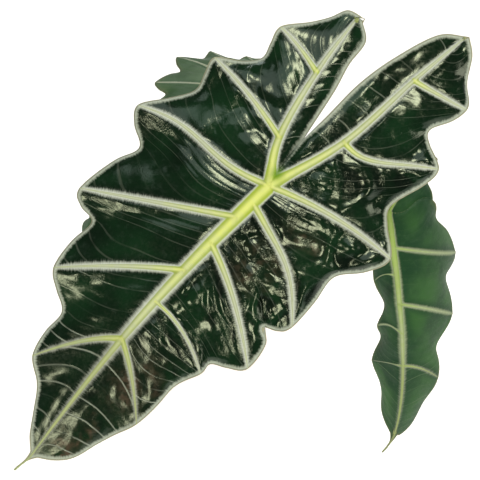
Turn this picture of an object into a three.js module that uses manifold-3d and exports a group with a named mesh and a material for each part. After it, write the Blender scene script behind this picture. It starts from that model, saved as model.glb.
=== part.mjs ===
// Potted African mask alocasia: four waved, ribbed blades on curved stalks, in a clay pot.
// Millimetres, +Z up. The origin is the centre of the flat underside of the pot.
import * as THREE from 'three';
import { mergeVertices } from 'three/addons/utils/BufferGeometryUtils.js';
import Module from 'manifold-3d';

const wasm = await Module();
wasm.setup();

// Pot sizes
const POT_HEIGHT = 124;
const POT_FOOT_RADIUS = 48;
const POT_RIM_RADIUS = 72;
const POT_WALL = 6;
const POT_FLOOR = 8;
const COLLAR_HEIGHT = 33;
const COLLAR_STEP = 4.5;
const POT_SIDES = 40;
const DRAIN_COUNT = 5;
const DRAIN_RADIUS = 5;
const DRAIN_RING = 26;

// Soil sizes
const CLEARANCE = 0.35;
const SOIL_LEVEL = 106;
const SOIL_MOUND = 5;
const SOIL_BUMP = 1.3;

// Rootstock sizes
const ROOTSTOCK_RADIUS = 9;
const ROOTSTOCK_BOTTOM = 84;
const ROOTSTOCK_TOP = 121;
const ROOTSTOCK_SIDES = 20;
const HOLE_SLACK = 0.4;

// Stalk sizes
const STALK_FOOT_RADIUS = 5;
const STALK_TOP_RADIUS = 2.7;
const STALK_START = 92;
const STALK_SIDES = 10;
const STALK_STEPS = 20;

// Blade sizes, for a blade of scale 1
const BLADE_LENGTH = 180;
const LOBE_LENGTH = 120;
const HALF_WIDTH = 70;
const BLADE_THICKNESS = 0.9;
const MARGIN_LIP = 1.2;
const MIDRIB_BOW = -4.6;
const MIDRIB_RISE = 1.1;
const MIDRIB_KEEL = 1.6;
const MIDRIB_SPREAD = 2.6;
const VEIN_RISE = 0.8;
const VEIN_KEEL = 0.9;
const VEIN_SPREAD = 0.045;
const SINUS_DROP = 1.2;
const SINUS_STEP = 1.5;
const JUNCTION_PHASE = 3;
const DRIP_START = 179;
const DRIP_END = 190.7;
const DRIP_SWEEP = -2.9;

// A half of the leaf plan. Phases count the side veins from the rear lobe's tip: a whole
// number lies on a vein, a half in the dip between two veins, and 3 is the vein at the
// junction. Points are phase, u and v, with u towards the drip tip and v across the blade.
// Sway gives each vein its bow and its swing, as distances along u.
const BROAD_HALF = {
  side: -1,
  lobeRib: [[0, -92.5, -22.6], [1, -58.2, -19.6], [2, -21.4, -12], [3, 0, 0]],
  roots: [0, 22, 59, 105, DRIP_START],
  sway: [[0, 0], [-1.2, 0], [-1.7, 0], [-0.9, 2.5], [0, 0], [-2, 0], [-4.4, 0], [0, 0], [0, 0]],
  margin: [
    [0, -94.6, -20], [0.25, -92, -28.2], [0.5, -84.4, -32.6], [0.75, -74.4, -39],
    [1, -63.3, -46.8], [1.25, -54.5, -45.9], [1.5, -46.6, -45], [1.75, -38, -51.2],
    [2, -30.2, -61.4], [2.25, -21.5, -60.8], [2.5, -12, -59.7], [2.75, 0.5, -67],
    [3, 12.5, -74.6], [3.25, 21, -70.5], [3.5, 28, -61.9], [3.75, 41, -66.3],
    [4, 62.5, -69.2], [4.25, 69.2, -63.8], [4.5, 71.8, -55], [4.75, 84.9, -55.3],
    [5, 100.5, -52.4], [5.25, 108.5, -44.5], [5.5, 115.5, -36], [5.75, 127.4, -35.2],
    [6, 140, -31.3], [6.25, 149, -22], [6.5, 160, -15.2], [6.75, 170.5, -7.8],
    [7, DRIP_START, -1.5], [8, DRIP_END, DRIP_SWEEP - 0.4],
  ],
  sinus: [
    [0, -94.6, -20], [0.5, -87.3, -11.6], [1, -73, -10.2], [1.5, -58, -6.8],
    [2, -38, -3.8], [2.5, -22, -1.6], [2.75, -13, -1.7], [3, -6.5, -1.2],
  ],
};
const LONG_HALF = {
  side: 1,
  lobeRib: [[0, -122.5, 24.5], [1, -88, 19.4], [2, -41, 13.6], [3, 0, 0]],
  roots: [0, 11.5, 40, 80, 105, DRIP_START],
  sway: [[0, 0], [0, 0], [5, 1.5], [-3.3, 0], [-7, 1.5], [-3.5, 0], [-3.8, 0], [-2, 0], [0, 0]],
  margin: [
    [0, -124.4, 25.8], [0.25, -118, 32.8], [0.5, -108.4, 39.4], [0.75, -101.4, 45.4],
    [1, -94.6, 47.8], [1.25, -86.4, 46.8], [1.5, -76, 41.9], [1.75, -69.5, 46],
    [2, -62.8, 56.9], [2.25, -52, 57.6], [2.5, -34, 52.6], [2.75, -24.5, 57.2],
    [3, -13, 68.4], [3.25, 0, 64], [3.5, 12, 54.6], [3.75, 27, 54.9],
    [4, 44.5, 54], [4.25, 50.8, 50.6], [4.5, 54.3, 43.8], [4.75, 59, 50.4],
    [5, 74.5, 51.2], [5.25, 81.5, 43.6], [5.5, 85.5, 37.2], [6, 92, 35],
    [6.5, 107, 30.6], [6.75, 119, 30], [7, 131.5, 28], [7.25, 142, 24.6],
    [7.5, 154, 20.8], [7.75, 168, 15], [8, DRIP_START, 2.8], [9, DRIP_END, DRIP_SWEEP + 0.4],
  ],
  sinus: [
    [0, -124.4, 25.8], [0.5, -114, 13.5], [1, -90, 4.6], [1.5, -68, -0.1],
    [2, -45, -1.4], [2.5, -24, -2.7], [2.75, -13, -1.2], [3, -6.5, -1.2],
  ],
};

// The four leaves. Junction is where stalk and blade meet; tip and across are the blade's
// own directions there. Folds and curl are radians down from the midrib to each margin,
// droop turns the blade's end down and lobeDroop its rear lobes, which lobeLength shortens.
// Reach stretches the side veins one by one, and tail is the drip tip's length and sweep.
// Base is the bearing of the stalk's foot round the rootstock.
const LEAVES = [
  {
    name: 'front', junction: [36.7, -137, 410], tip: [-0.662, -0.649, -0.375],
    across: [0.75, -0.573, -0.331], scale: 1.012, width: 1, flip: false,
    droop: 0.1, lobeLength: 1, lobeDroop: 0.12, foldBroad: 0.03, foldLong: 0.03, curl: 0.18, swerve: 0,
    wave: 3.2, quilt: 2.2, reachBroad: [1], reachLong: [1],
    tail: [1.1, 1.4], base: -55, colour: 0x1d3523,
  },
  {
    name: 'right', junction: [106.8, -116.5, 352.5], tip: [0.213, -0.64, -0.738],
    across: [0.89, 0.438, -0.123], scale: 1, width: 1.25, flip: true,
    droop: 0.595, lobeLength: 0.72, lobeDroop: 1.8, foldBroad: 0.005, foldLong: 1.38, curl: 0.86,
    swerve: -6.8, wave: 2.1, quilt: 1.6, reachBroad: [0.85, 0.75, 0.52, 0.36, 0.82, 0.84, 0.91, 1.86],
    reachLong: [0.8, 0.8, 0.7, 0.5, 0.3, 0.25, 0.41, 0.75, 0.75],
    tail: [2, -7], base: -5, colour: 0x38563a,
  },
  {
    name: 'left', junction: [-35.9, -84.7, 299.2], tip: [-0.644, 0.222, -0.732],
    across: [0.387, -0.731, -0.562], scale: 0.72, width: 0.88, flip: true,
    droop: 0.5, lobeLength: 0.75, lobeDroop: 1.5, foldBroad: 0.4, foldLong: 0.4, curl: 0.5, swerve: 0,
    wave: 3, quilt: 1.8, reachBroad: [1], reachLong: [0.8, 0.8, 0.7, 0.55, 0.55, 0.7, 0.8, 1, 1],
    tail: [1.66, -2.1], base: -165, colour: 0x2f4c33,
  },
  {
    name: 'back', junction: [25.5, -17.6, 351.1], tip: [-0.565, -0.736, 0.373],
    across: [0.813, -0.574, 0.097], scale: 0.569, width: 0.92, flip: false,
    droop: 1.295, lobeLength: 0.9, lobeDroop: 0.364, foldBroad: 0.03, foldLong: 0.3, curl: 0.05, swerve: 0,
    wave: 1.34, quilt: 1.8, reachBroad: [0.9, 0.65, 1.25, 1.21, 1.13, 1, 1.1, 1],
    reachLong: [1],
    tail: [1, 0], base: 80, colour: 0x4c6248,
  },
];

// Column places between two veins and rows from rib to margin, as shares
const FOOT_PHASE = 0.075;
const ROW_SHARES = [0.32, 0.66, 1];
const COLUMN_GAP = 2.4;

const CLAY = 0xb5633f;
const SOIL_BROWN = 0x3b2c22;
const CROWN_BROWN = 0x6b5638;
const STALK_GREEN = 0x7d9a56;

function clamp(x, low, high) {
  return Math.min(high, Math.max(low, x));
}

// Smooth curve through points of phase, u and v
function curveAt(points, phase) {
  const last = points.length - 1;
  const p = clamp(phase, points[0][0], points[last][0]);
  let i = 0;
  while (i < last - 1 && p >= points[i + 1][0]) i += 1;
  const tangent = (k) => {
    const a = points[Math.max(0, k - 1)];
    const b = points[Math.min(last, k + 1)];
    return [(b[1] - a[1]) / (b[0] - a[0]), (b[2] - a[2]) / (b[0] - a[0])];
  };
  const h = points[i + 1][0] - points[i][0];
  const s = (p - points[i][0]) / h;
  const start = tangent(i);
  const end = tangent(i + 1);
  const w0 = 2 * s ** 3 - 3 * s ** 2 + 1;
  const w1 = (s ** 3 - 2 * s ** 2 + s) * h;
  const w2 = -2 * s ** 3 + 3 * s ** 2;
  const w3 = (s ** 3 - s ** 2) * h;
  return [1, 2].map((k) => w0 * points[i][k] + w1 * start[k - 1]
    + w2 * points[i + 1][k] + w3 * end[k - 1]);
}

// Value at a phase of a list that has one value for each vein
function listAt(values, phase) {
  const last = values.length - 1;
  const i = clamp(Math.floor(phase), 0, last);
  const j = Math.min(last, i + 1);
  return values[i] + (values[j] - values[i]) * clamp(phase - i, 0, 1);
}

// The midrib's sideways place in the plan
function midribAt(u) {
  if (u > BLADE_LENGTH) return DRIP_SWEEP * ((u - BLADE_LENGTH) / (DRIP_END - BLADE_LENGTH)) ** 1.5;
  return MIDRIB_BOW * Math.sin(Math.PI * clamp(u / BLADE_LENGTH, 0, 1));
}

// Where a blade folds: along the midrib, and behind the junction along the sinus
function foldLineAt(u) {
  return u < 0 ? -2.4 * (1 - Math.exp(u / 12)) : midribAt(u);
}

function lastPhase(half) {
  return JUNCTION_PHASE + half.roots.length - 1;
}

// Phase of the column that leaves the midrib at u
function phaseAt(half, u) {
  const { roots } = half;
  let k = 0;
  while (k < roots.length - 2 && u >= roots[k + 1]) k += 1;
  if (u > DRIP_START) return lastPhase(half) + (u - DRIP_START) / (DRIP_END - DRIP_START);
  return JUNCTION_PHASE + k + (u - roots[k]) / (roots[k + 1] - roots[k]);
}

// Midrib place of a phase past the junction
function rootAt(half, phase) {
  const last = lastPhase(half);
  if (phase > last) return DRIP_START + (phase - last) * (DRIP_END - DRIP_START);
  return listAt(half.roots, phase - JUNCTION_PHASE);
}

// Plan point on the outer side of a half, t running from rib to margin
function outerPoint(half, phase, t, reach) {
  const u = phase > JUNCTION_PHASE ? rootAt(half, phase) : 0;
  const root = phase > JUNCTION_PHASE ? [u, midribAt(u)] : curveAt(half.lobeRib, phase);
  const edge = curveAt(half.margin, phase);
  const du = edge[0] - root[0];
  const dv = edge[1] - root[1];
  const length = Math.hypot(du, dv);
  const lip = MARGIN_LIP * clamp(length / 10, 0, 1);
  const stretch = (listAt(reach, phase) + lip / length) * t;
  const bow = listAt(half.sway.map((s) => s[0]), phase) * 4 * t * (1 - t);
  const swing = listAt(half.sway.map((s) => s[1]), phase) * Math.sin(2 * Math.PI * t);
  return { u: root[0] + du * stretch + bow + swing, v: root[1] + dv * stretch, length };
}

// Plan point between a rear lobe's rib and its edge on the sinus
function innerPoint(half, phase, t) {
  const root = curveAt(half.lobeRib, phase);
  const edge = curveAt(half.sinus, phase);
  const length = Math.hypot(edge[0] - root[0], edge[1] - root[1]);
  return { u: root[0] + (edge[0] - root[0]) * t, v: root[1] + (edge[1] - root[1]) * t, length };
}

// Height above the smooth blade: waved margin, quilted panels and raised ribs; of the two rear
// lobes' inner edges, the long half's lies above the broad half's
function reliefAt(leaf, half, phase, t, length, inner) {
  const offVein = phase - Math.round(phase);
  const taper = clamp(length / 25, 0, 1);
  const onVein = Math.exp(-((offVein / VEIN_SPREAD) ** 2)) * (phase > 0.5 ? 1 : 0) * taper;
  const fade = clamp(1 - Math.max(0, phase - JUNCTION_PHASE) / 9, 0, 1);
  const onMidrib = Math.exp(-(((t * length) / MIDRIB_SPREAD) ** 2)) * fade;
  const step = SINUS_STEP * half.side * clamp((JUNCTION_PHASE - phase) / 0.4, 0, 1);
  const ripple = leaf.wave * Math.cos(2 * Math.PI * phase) * taper;
  const wave = t * t * (inner ? step - SINUS_DROP : ripple);
  const panel = inner ? 0.6 : Math.sin(Math.PI * phase) ** 2;
  const quilt = leaf.quilt * panel * Math.sin(Math.PI * t) ** 0.8 * taper;
  const vein = inner ? 0 : onVein * (1 - 0.6 * t);
  return {
    height: wave + quilt + VEIN_RISE * vein + MIDRIB_RISE * onMidrib,
    keel: VEIN_KEEL * vein + MIDRIB_KEEL * onMidrib,
  };
}

// Slope of the blade's spine at a distance from the junction
function spineSlope(leaf, s) {
  return s > 0 ? -leaf.droop * (s / BLADE_LENGTH) ** 1.5 : leaf.lobeDroop * (-s / LOBE_LENGTH);
}

function spineAt(leaf, s) {
  const steps = 24;
  const ds = s / steps;
  let x = 0;
  let z = 0;
  for (let k = 0; k < steps; k += 1) {
    const slope = spineSlope(leaf, (k + 0.5) * ds);
    x += Math.cos(slope) * ds;
    z += Math.sin(slope) * ds;
  }
  return { x, z, slope: spineSlope(leaf, s) };
}

// Bends a plan point into the blade's own space: x to the tip, y across, z up
function bentPoint(leaf, u, v, height) {
  const flip = leaf.flip ? -1 : 1;
  const line = foldLineAt(u) * flip * leaf.width;
  const off = v * flip * leaf.width - line;
  const side = Math.sign(off);
  const broad = side * flip < 0;
  const ease = 1 - 0.9 * Math.exp(-((u / 28) ** 2));
  const fold = (broad ? leaf.foldBroad : leaf.foldLong) * ease;
  const bend = leaf.curl / HALF_WIDTH;
  const angle = fold + bend * Math.abs(off);
  const out = (Math.sin(angle) - Math.sin(fold)) / bend + (height / leaf.scale) * Math.sin(angle);
  const up = (Math.cos(angle) - Math.cos(fold)) / bend + (height / leaf.scale) * Math.cos(angle);
  const past = Math.max(0, u - DRIP_START);
  const spine = spineAt(leaf, u < 0 ? u * leaf.lobeLength : u + past * (leaf.tail[0] - 1));
  const tailSweep = leaf.tail[1] * (past / (DRIP_END - DRIP_START)) ** 1.5;
  const sweep = leaf.swerve * Math.sin(Math.PI * clamp(u / BLADE_LENGTH, 0, 1)) + tailSweep;
  const x = spine.x - Math.sin(spine.slope) * up;
  const z = spine.z + Math.cos(spine.slope) * up;
  return new THREE.Vector3(x, line + sweep + side * out, z).multiplyScalar(leaf.scale);
}

// Columns of the lobes, as phases, and of the blade ahead of the junction, as places on
// the midrib that both halves share
function lobePhases() {
  const phases = [0, 0.2, 0.5, 0.75];
  for (const vein of [1, 2]) {
    phases.push(vein - FOOT_PHASE, vein, vein + FOOT_PHASE, vein + 0.25, vein + 0.5, vein + 0.75);
  }
  phases.push(JUNCTION_PHASE - FOOT_PHASE);
  return phases;
}

function midribPlaces() {
  const ribs = [];
  const between = [];
  for (const half of [BROAD_HALF, LONG_HALF]) {
    for (let vein = JUNCTION_PHASE; vein < lastPhase(half); vein += 1) {
      ribs.push(rootAt(half, vein), rootAt(half, vein + FOOT_PHASE));
      if (vein > JUNCTION_PHASE) ribs.push(rootAt(half, vein - FOOT_PHASE));
      between.push(rootAt(half, vein + 0.5), rootAt(half, vein + 0.25), rootAt(half, vein + 0.75));
    }
  }
  const places = [...new Set(ribs)];
  for (const u of between) {
    if (places.every((other) => Math.abs(other - u) > COLUMN_GAP)) places.push(u);
  }
  places.push(DRIP_START, (DRIP_START + DRIP_END) / 2, DRIP_END);
  return places.sort((a, b) => a - b).filter((u, k, all) => k === 0 || u - all[k - 1] > 0.3);
}

// One blade: its upper face from columns and rows, its lower face alike, and its rim
function bladeGeometry(leaf) {
  const points = [];
  const keels = [];
  const faces = [];
  const add = (plan, relief) => {
    points.push(bentPoint(leaf, plan.u, plan.v, relief.height));
    keels.push(relief.keel);
    return points.length - 1;
  };
  const rowTs = (length) => {
    const foot = clamp((MIDRIB_SPREAD * 1.5) / length, 0.05, 0.3);
    return [foot, ...ROW_SHARES.map((share) => foot + (1 - foot) * share)];
  };
  const column = (half, phase, first, inner) => {
    const reach = half === BROAD_HALF ? leaf.reachBroad : leaf.reachLong;
    const at = (t) => (inner ? innerPoint(half, phase, t) : outerPoint(half, phase, t, reach));
    const { length } = at(1);
    return [first, ...rowTs(length).map((t) => add(at(t), reliefAt(leaf, half, phase, t, length, inner)))];
  };
  const strip = (columns, outward) => {
    for (let i = 0; i + 1 < columns.length; i += 1) {
      for (let j = 0; j + 1 < columns[i].length; j += 1) {
        const [a, b, c, d] = [columns[i][j], columns[i + 1][j], columns[i + 1][j + 1], columns[i][j + 1]];
        const pair = (i + j) % 2 ? [[a, b, c], [a, c, d]] : [[a, b, d], [b, c, d]];
        faces.push(...pair.map((face) => (outward ? face : face.toReversed())));
      }
    }
  };
  const places = midribPlaces();
  const middle = places.map((u) => {
    const phase = phaseAt(LONG_HALF, u);
    return add({ u, v: midribAt(u) }, reliefAt(leaf, BROAD_HALF, phase, 0, 100, true));
  });
  const web = column(BROAD_HALF, JUNCTION_PHASE, middle[0], true);
  for (const half of [BROAD_HALF, LONG_HALF]) {
    const outward = (half.side > 0) !== leaf.flip;
    const phases = lobePhases();
    const crest = reliefAt(leaf, half, JUNCTION_PHASE, 0, 100, true);
    const ribs = phases.map((phase) => add(innerPoint(half, phase, 0), crest));
    const lobe = phases.map((phase, k) => column(half, phase, ribs[k], false));
    const ahead = places.map((u, k) => column(half, phaseAt(half, u), middle[k], false));
    const inner = phases.map((phase, k) => (k === 0 ? lobe[0] : column(half, phase, ribs[k], true)));
    strip([...lobe, ...ahead], outward);
    strip([...inner, web], !outward);
  }
  return thickened(points, keels, faces, leaf.scale);
}

function thickened(points, keels, faces, scale) {
  const top = new THREE.BufferGeometry().setFromPoints(points);
  top.setIndex(faces.flat());
  top.computeVertexNormals();
  const normals = top.getAttribute('normal');
  const lower = points.map((point, k) => {
    const normal = new THREE.Vector3().fromBufferAttribute(normals, k);
    return point.clone().addScaledVector(normal, -(BLADE_THICKNESS + keels[k] * scale));
  });
  const count = points.length;
  const index = faces.flat();
  for (const [a, b, c] of faces) index.push(c + count, b + count, a + count);
  const edges = new Map();
  for (const [a, b, c] of faces) {
    for (const [from, to] of [[a, b], [b, c], [c, a]]) edges.set(`${from} ${to}`, [from, to]);
  }
  for (const [from, to] of edges.values()) {
    if (!edges.has(`${to} ${from}`)) index.push(to, from, from + count, to, from + count, to + count);
  }
  const geometry = new THREE.BufferGeometry().setFromPoints([...points, ...lower]);
  geometry.setIndex(index);
  return geometry;
}

function leafFrame(leaf) {
  const tip = new THREE.Vector3(...leaf.tip).normalize();
  const across = new THREE.Vector3(...leaf.across).normalize();
  const up = new THREE.Vector3().crossVectors(tip, across).normalize();
  across.crossVectors(up, tip);
  return { tip, across, up, junction: new THREE.Vector3(...leaf.junction) };
}

function blade(leaf) {
  const { tip, across, up, junction } = leafFrame(leaf);
  const material = new THREE.MeshStandardMaterial({ color: leaf.colour, roughness: 0.32, metalness: 0 });
  const mesh = new THREE.Mesh(bladeGeometry(leaf), material);
  mesh.name = `blade_${leaf.name}`;
  mesh.position.copy(junction);
  mesh.setRotationFromMatrix(new THREE.Matrix4().makeBasis(tip, across, up));
  return mesh;
}

// A stalk rises from its hole in the soil beside the rootstock, and meets its blade from
// below with its end square to the junction
function stalkPath(leaf) {
  const { up, junction } = leafFrame(leaf);
  const bearing = THREE.MathUtils.degToRad(leaf.base);
  const outward = new THREE.Vector3(Math.cos(bearing), Math.sin(bearing), 0);
  const ring = ROOTSTOCK_RADIUS + stalkRadius(leaf, 0) + CLEARANCE;
  const foot = outward.clone().multiplyScalar(ring).setZ(STALK_START);
  const slack = 0.1 * STALK_TOP_RADIUS * Math.max(leaf.foldBroad, leaf.foldLong) + 0.13 * leaf.lobeDroop;
  const seat = BLADE_THICKNESS + (MIDRIB_KEEL - MIDRIB_RISE) * leaf.scale + CLEARANCE + slack;
  const end = junction.clone().addScaledVector(up, -seat);
  const rise = end.distanceTo(foot);
  const lower = foot.clone().addScaledVector(outward, rise * 0.04);
  lower.z += rise * 0.42;
  const upper = end.clone().addScaledVector(up, -rise * 0.3);
  return new THREE.CubicBezierCurve3(foot, lower, upper, end);
}

function stalkRadius(leaf, share) {
  const size = 0.55 + 0.45 * leaf.scale;
  const body = THREE.MathUtils.lerp(STALK_FOOT_RADIUS, STALK_TOP_RADIUS, share ** 0.7);
  const knee = 0.5 * Math.exp(-(((share - 0.97) / 0.03) ** 2));
  return (body + knee) * size;
}

function tubeGeometry(path, radiusAt) {
  const sides = STALK_SIDES;
  const steps = STALK_STEPS;
  const points = [];
  const index = [];
  const frames = path.computeFrenetFrames(steps, false);
  for (let i = 0; i <= steps; i += 1) {
    const centre = path.getPointAt(i / steps);
    for (let k = 0; k < sides; k += 1) {
      const turn = (2 * Math.PI * k) / sides;
      const radius = radiusAt(i / steps);
      points.push(centre.clone()
        .addScaledVector(frames.normals[i], Math.cos(turn) * radius)
        .addScaledVector(frames.binormals[i], Math.sin(turn) * radius));
    }
  }
  for (let i = 0; i < steps; i += 1) {
    for (let k = 0; k < sides; k += 1) {
      const a = i * sides + k;
      const b = i * sides + ((k + 1) % sides);
      index.push(a, b, b + sides, a, b + sides, a + sides);
    }
  }
  for (let k = 1; k + 1 < sides; k += 1) {
    index.push(0, k + 1, k);
    index.push(steps * sides, steps * sides + k, steps * sides + k + 1);
  }
  const geometry = new THREE.BufferGeometry().setFromPoints(points);
  geometry.setIndex(index);
  return geometry;
}

function stalk(leaf) {
  const geometry = tubeGeometry(stalkPath(leaf), (share) => stalkRadius(leaf, share));
  const material = new THREE.MeshStandardMaterial({ color: STALK_GREEN, roughness: 0.45, metalness: 0 });
  const mesh = new THREE.Mesh(geometry, material);
  mesh.name = `stalk_${leaf.name}`;
  return mesh;
}

// Solids for cuts
function toSolid(geometry) {
  const bare = geometry.clone();
  bare.deleteAttribute('normal');
  bare.deleteAttribute('uv');
  const merged = mergeVertices(bare, 1e-4);
  const vertProperties = new Float32Array(merged.getAttribute('position').array);
  const triVerts = new Uint32Array(merged.getIndex().array);
  return new wasm.Manifold(new wasm.Mesh({ numProp: 3, vertProperties, triVerts }));
}

function toGeometry(solid) {
  const { vertProperties, triVerts } = solid.getMesh();
  const geometry = new THREE.BufferGeometry();
  geometry.setAttribute('position', new THREE.BufferAttribute(vertProperties, 3));
  geometry.setIndex(new THREE.BufferAttribute(triVerts, 1));
  return geometry;
}

// Lathes turn about Y, so each is stood up along Z
function turned(profile, sides) {
  const geometry = new THREE.LatheGeometry(profile.map(([r, z]) => new THREE.Vector2(r, z)), sides);
  return geometry.rotateX(Math.PI / 2);
}

// Inner radius of the pot at a height
function potBore(z) {
  const share = clamp((z - POT_FLOOR) / (POT_HEIGHT - POT_FLOOR), 0, 1);
  return THREE.MathUtils.lerp(POT_FOOT_RADIUS - POT_WALL + 1, POT_RIM_RADIUS - POT_WALL - 1.5, share);
}

function pot() {
  const collarFoot = POT_HEIGHT - COLLAR_HEIGHT;
  const collarRadius = POT_RIM_RADIUS - 1.5;
  const profile = [
    [0, 0], [POT_FOOT_RADIUS - 1.5, 0], [POT_FOOT_RADIUS, 1.5],
    [collarRadius - COLLAR_STEP, collarFoot], [collarRadius - 0.8, collarFoot + 0.6],
    [collarRadius, collarFoot + 2], [POT_RIM_RADIUS, POT_HEIGHT - 2.5],
    [POT_RIM_RADIUS - 1.2, POT_HEIGHT - 0.6], [POT_RIM_RADIUS - 3, POT_HEIGHT],
    [potBore(POT_HEIGHT) + 1.5, POT_HEIGHT - 0.5], [potBore(POT_HEIGHT), POT_HEIGHT - 2],
    [potBore(POT_FLOOR + 4), POT_FLOOR + 4], [potBore(POT_FLOOR) - 3, POT_FLOOR], [0, POT_FLOOR],
  ];
  let solid = toSolid(turned(profile, POT_SIDES));
  for (let k = 0; k < DRAIN_COUNT; k += 1) {
    const turn = (2 * Math.PI * k) / DRAIN_COUNT;
    const drill = new THREE.CylinderGeometry(DRAIN_RADIUS, DRAIN_RADIUS, POT_FLOOR * 3, 16);
    drill.rotateX(Math.PI / 2);
    drill.translate(DRAIN_RING * Math.cos(turn), DRAIN_RING * Math.sin(turn), 0);
    solid = solid.subtract(toSolid(drill));
  }
  const material = new THREE.MeshStandardMaterial({ color: CLAY, roughness: 0.9, metalness: 0 });
  const mesh = new THREE.Mesh(toGeometry(solid), material);
  mesh.name = 'pot';
  return mesh;
}

function soilHeight(radius, turn) {
  const mound = SOIL_MOUND * (1 - (radius / potBore(SOIL_LEVEL)) ** 2);
  const lumps = Math.sin(radius * 0.31 + 3 * turn) * Math.cos(5 * turn - radius * 0.17);
  return SOIL_LEVEL + mound + SOIL_BUMP * lumps * clamp(radius / 12, 0, 1);
}

function rootstockProfile(slack) {
  const r = ROOTSTOCK_RADIUS + slack;
  return [
    [0, ROOTSTOCK_BOTTOM - slack], [r * 0.7, ROOTSTOCK_BOTTOM - slack], [r, ROOTSTOCK_BOTTOM + 5],
    [r, SOIL_LEVEL + 2], [r * 0.93, SOIL_LEVEL + 6], [r * 0.97, SOIL_LEVEL + 8],
    [r * 0.8, SOIL_LEVEL + 11], [r * 0.72, SOIL_LEVEL + 12],
    [r * 0.35, ROOTSTOCK_TOP - 1.5], [0, ROOTSTOCK_TOP],
  ];
}

// Soil fills the pot, with a plain hole for the rootstock and for each stalk
function soil() {
  const rings = [8, 20, 32, 44, 54];
  const profile = [
    [0, POT_FLOOR + CLEARANCE], [potBore(POT_FLOOR) - 3.5, POT_FLOOR + CLEARANCE],
    [potBore(POT_FLOOR + 4) - CLEARANCE, POT_FLOOR + 4.5], [potBore(SOIL_LEVEL) - CLEARANCE, SOIL_LEVEL],
    ...rings.toReversed().map((r) => [r, SOIL_LEVEL]), [0, SOIL_LEVEL],
  ];
  const geometry = turned(profile, POT_SIDES);
  const position = geometry.getAttribute('position');
  for (let k = 0; k < position.count; k += 1) {
    const [x, y, z] = [position.getX(k), position.getY(k), position.getZ(k)];
    const radius = Math.hypot(x, y);
    if (z > SOIL_LEVEL - 0.01) position.setZ(k, soilHeight(radius, Math.atan2(y, x)));
  }
  let solid = toSolid(geometry);
  solid = solid.subtract(toSolid(turned(rootstockProfile(HOLE_SLACK), ROOTSTOCK_SIDES)));
  for (const leaf of LEAVES) {
    const hole = toSolid(tubeGeometry(stalkPath(leaf), (share) => stalkRadius(leaf, share) + HOLE_SLACK));
    solid = solid.subtract(hole).subtract(hole.translate([0, 0, -HOLE_SLACK]));
  }
  const material = new THREE.MeshStandardMaterial({ color: SOIL_BROWN, roughness: 1, metalness: 0 });
  const mesh = new THREE.Mesh(toGeometry(solid), material);
  mesh.name = 'soil';
  return mesh;
}

function rootstock() {
  const geometry = turned(rootstockProfile(0), ROOTSTOCK_SIDES);
  const material = new THREE.MeshStandardMaterial({ color: CROWN_BROWN, roughness: 0.85, metalness: 0 });
  const mesh = new THREE.Mesh(geometry, material);
  mesh.name = 'rootstock';
  return mesh;
}

const alocasia = new THREE.Group();
alocasia.add(pot(), soil(), rootstock());
for (const leaf of LEAVES) alocasia.add(stalk(leaf), blade(leaf));

export default alocasia;
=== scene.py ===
"""Finish of a potted African mask alocasia: four ribbed blades, their stalks, crown, soil and pot.

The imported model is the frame. Each piece here stands for the node of its name, and keeps its form
with finer relief. Sizes are in millimetres until a mesh is made, which is in metres.
"""

from __future__ import annotations

import logging
import math
import random
from dataclasses import dataclass, field, replace
from enum import Enum

import bpy
import numpy as np
from mathutils import Matrix, Vector, noise
from mathutils.kdtree import KDTree


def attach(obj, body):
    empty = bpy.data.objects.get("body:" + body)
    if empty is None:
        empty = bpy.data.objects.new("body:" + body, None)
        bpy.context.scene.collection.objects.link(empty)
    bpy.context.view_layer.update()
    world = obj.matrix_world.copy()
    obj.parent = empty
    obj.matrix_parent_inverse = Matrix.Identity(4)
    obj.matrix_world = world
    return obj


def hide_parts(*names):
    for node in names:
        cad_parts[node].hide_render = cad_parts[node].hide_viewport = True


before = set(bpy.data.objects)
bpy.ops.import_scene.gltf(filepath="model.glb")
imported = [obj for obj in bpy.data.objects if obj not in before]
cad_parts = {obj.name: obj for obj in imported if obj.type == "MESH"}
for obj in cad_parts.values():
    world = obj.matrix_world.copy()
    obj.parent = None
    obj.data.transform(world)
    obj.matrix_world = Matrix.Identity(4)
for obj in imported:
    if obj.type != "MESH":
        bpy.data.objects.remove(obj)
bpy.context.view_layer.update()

MM = 0.001
BODY = "root"
POT_HEIGHT, POT_FLOOR = 124.0, 8.0
BORE_RIM, BORE_FOOT = 64.5, 43.0
SOIL_LEVEL = 106.0
Array = np.ndarray
Material = bpy.types.Material
Node = bpy.types.Node
Piece = bpy.types.Object
Socket = bpy.types.NodeSocket
Rows = tuple[tuple[float, ...], ...]
LOG = logging.getLogger("alocasia")


class Face(Enum):
    """The two faces of a blade, as material places on its mesh."""

    UPPER = 0
    UNDER = 1


class Ease(Enum):
    """How a ramp goes from its start to its end."""

    SOFT = "SMOOTHSTEP"
    EVEN = "LINEAR"


def linear(colour: str) -> tuple[float, float, float, float]:
    """Turns an sRGB hex colour to a linear one.

    Args:
        colour: Six hex digits after a hash sign.

    Returns:
        Linear red, green, blue and an alpha of 1.
    """
    parts = [int(colour[k : k + 2], 16) / 255 for k in (1, 3, 5)]
    return (*(p / 12.92 if p <= 0.04045 else ((p + 0.055) / 1.055) ** 2.4 for p in parts), 1.0)


def add_node(tree: bpy.types.NodeTree, kind: str, links: dict | None = None, **settings: object) -> Node:
    """Adds a node, sets its properties and fills its inputs.

    Args:
        tree: The node tree that gets the node.
        kind: The node's type name.
        links: Input name or number to a value, or to the output socket that feeds it.
        settings: Properties of the node.

    Returns:
        The new node.
    """
    made = tree.nodes.new(kind)
    for name, value in settings.items():
        setattr(made, name, value)
    for key, value in (links or {}).items():
        if isinstance(value, Socket):
            tree.links.new(value, made.inputs[key])
        else:
            made.inputs[key].default_value = value
    return made


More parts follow.
